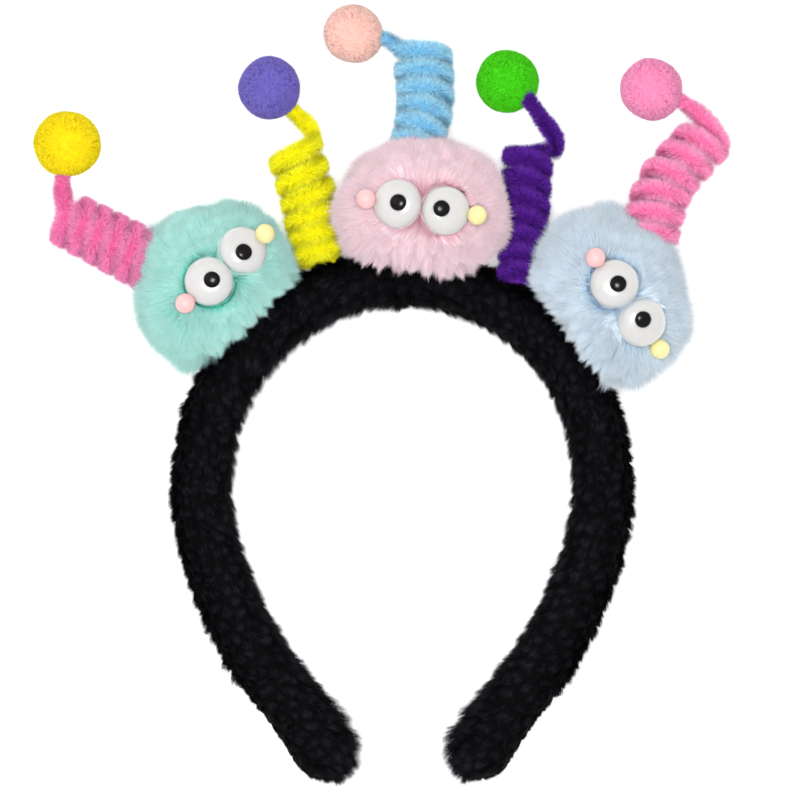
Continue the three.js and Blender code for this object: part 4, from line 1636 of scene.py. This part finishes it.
@dataclass
class Studio:
    """The pale floor, the soft lights and the camera straight above."""

    picture_width: float = 266.67
    aim: tuple[float, float, float] = (-0.67, -40.5, 20.0)
    distance: float = 8000.0
    floor_size: float = 4000.0
    sensor: float = 36.0
    world_strength: float = 0.5
    card_grain: float = 2.5
    card_relief: float = 0.02
    card_glow: float = 0.3

    def build(self) -> None:
        """Sets up the floor, world, lights and camera."""
        self.floor()
        self.world()
        self.lamp("Key", place=(-30, -30, 3000), size=900, power=78.0)
        self.lamp("Side", place=(-900, 500, 900), size=900, power=2.0)
        self.camera()
        bpy.context.scene.view_settings.view_transform = "Standard"

    def floor(self) -> None:
        """Lays a sheet of matt white card that glows a little, so that shadows on it stay pale."""
        half = 0.5 * self.floor_size * MM
        points = np.array([(-half, -half, 0), (half, -half, 0), (half, half, 0), (-half, half, 0)])
        sheet_of_card = new_object("floor", mesh_from("floor", points, [[0, 1, 2, 3]]))
        material = bpy.data.materials.new("Matt card, white")
        material.use_nodes = True
        sheet = NodeSheet(material.node_tree)
        spot = sheet.add("ShaderNodeTexCoord").outputs["Object"]
        grain = sheet.add("ShaderNodeTexNoise", {"Vector": spot, "Scale": 1 / (self.card_grain * MM)})
        bump = sheet.add("ShaderNodeBump", {
            "Height": grain.outputs[0], "Distance": self.card_relief * MM,
        })
        surface = sheet.add("ShaderNodeBsdfPrincipled", {
            "Base Color": linear("fafafa"),
            "Roughness": 0.9,
            "Emission Color": linear("ffffff"),
            "Emission Strength": self.card_glow,
            "Normal": bump.outputs[0],
        })
        sheet.add("ShaderNodeOutputMaterial", {0: surface.outputs[0]})
        sheet_of_card.data.materials.append(material)

    def world(self) -> None:
        """Surrounds the scene with even white light."""
        world = bpy.data.worlds.new("Even white")
        world.use_nodes = True
        sheet = NodeSheet(world.node_tree)
        light = sheet.add("ShaderNodeBackground", {
            "Color": linear("ffffff"), "Strength": self.world_strength,
        })
        sheet.add("ShaderNodeOutputWorld", {0: light.outputs[0]})
        bpy.context.scene.world = world

    def lamp(self, name: str, place: tuple[float, float, float], size: float, power: float) -> None:
        """Hangs a square soft lamp that faces the part.

        Args:
            name: The lamp's name.
            place: Where it hangs, from the crown's middle.
            size: Its side.
            power: Its power in watts.
        """
        data = bpy.data.lights.new(name, "AREA")
        data.size = size * MM
        data.energy = power
        lamp = bpy.data.objects.new(name, data)
        lamp.location = Vector(metres(place))
        aim = Vector(metres(self.aim)) - lamp.location
        lamp.rotation_euler = aim.to_track_quat("-Z", "Y").to_euler()
        bpy.context.scene.collection.objects.link(lamp)

    def camera(self) -> None:
        """Puts a long lens straight above the middle of the picture."""
        data = bpy.data.cameras.new("Camera")
        data.sensor_width = self.sensor
        data.lens = self.sensor * self.distance / self.picture_width
        camera = bpy.data.objects.new("Camera", data)
        camera.location = Vector(metres(self.aim)) + Vector((0, 0, self.distance * MM))
        bpy.context.scene.collection.objects.link(camera)
        bpy.context.scene.camera = camera


# The fur's extra reach past its form is given every 30 degrees, from the right and up.
CREATURES = [
    FurCreature("mint", Finish.fur_mint, middle=(-61.9, -2.2), half_width=29.4, half_height=32.0,
                row=(3.2, 5.95), turn=42.5, spread=14.4, gaze_a=(0.9, 0.6), gaze_b=(0.9, 0.1),
                band_reach=20.0, seed=21,
                extra_reach=(0.6, 1.4, 1.2, -1.0, 0.2, 2.6, 1.2, 3.0, 2.4, 1.0, -1.2, 1.3)),
    FurCreature("pink", Finish.fur_pink, middle=(8.0, 22.5), half_width=30.5, half_height=27.0,
                row=(-1.45, 1.0), turn=-8.2, spread=15.5, gaze_a=(-0.2, 0.5), gaze_b=(-1.1, 0.7),
                band_reach=28.0, seed=22,
                extra_reach=(-0.4, 2.2, 1.0, 0.0, 0.3, 3.4, 3.8, 3.4, 1.8, 3.0, 1.4, 2.8)),
    FurCreature("blue", Finish.fur_blue, middle=(68.8, -6.8), half_width=29.5, half_height=33.0,
                row=(6.05, -1.45), turn=-54.7, spread=15.1, gaze_a=(1.3, 0.2), gaze_b=(0.9, 0.6),
                band_reach=21.0, seed=23,
                extra_reach=(1.4, 1.6, 1.2, 2.8, 5.0, 2.4, 2.8, 2.4, -0.8, 2.4, 7.2, 5.2)),
]

# Each axis is the middle line of a coil, from its foot up.
ANTENNAE = [
    Antenna("left_pink_coil", Finish.chenille_pink, "yellow_tip", Finish.pompom_yellow, seed=31,
            axis=((-82.7, 4.8, 23.0), (-112.3, 20.1, 23.0))),
    Antenna("yellow_coil", Finish.chenille_yellow, "violet_tip", Finish.pompom_violet, seed=32,
            axis=((-27.8, 5.6, 12.5), (-31.0, 25.5, 12.5), (-36.2, 44.2, 12.5))),
    Antenna("light_blue_coil", Finish.chenille_light_blue, "peach_tip", Finish.pompom_peach, seed=33,
            axis=((4.6, 42.4, 21.0), (7.7, 58.5, 17.5), (6.7, 75.6, 14.0))),
    Antenna("purple_coil", Finish.chenille_purple, "green_tip", Finish.pompom_green, seed=34,
            axis=((40.0, -1.0, 19.0), (40.8, 20.5, 14.5), (42.2, 43.8, 10.0))),
    Antenna("right_pink_coil", Finish.chenille_bright_pink, "pink_tip", Finish.pompom_pink, seed=35,
            axis=((81.8, 12.8, 21.0), (84.7, 23.5, 19.5), (88.7, 32.8, 17.5), (94.8, 39.8, 15.5),
                  (100.7, 46.0, 13.5))),
]


def main() -> None:
    """Builds every piece round the frame, and the studio."""
    logging.basicConfig(level=logging.INFO, format="%(message)s")
    trees = PileTree()
    coils = [antenna.coil for antenna in ANTENNAE]
    PlushBand().build(trees, CREATURES, coils)
    for creature in CREATURES:
        creature.build(trees)
    for antenna in ANTENNAE:
        antenna.build_coil(trees)
        antenna.build_tip(trees)
    Studio().build()


if __name__ == "__main__":
    main()
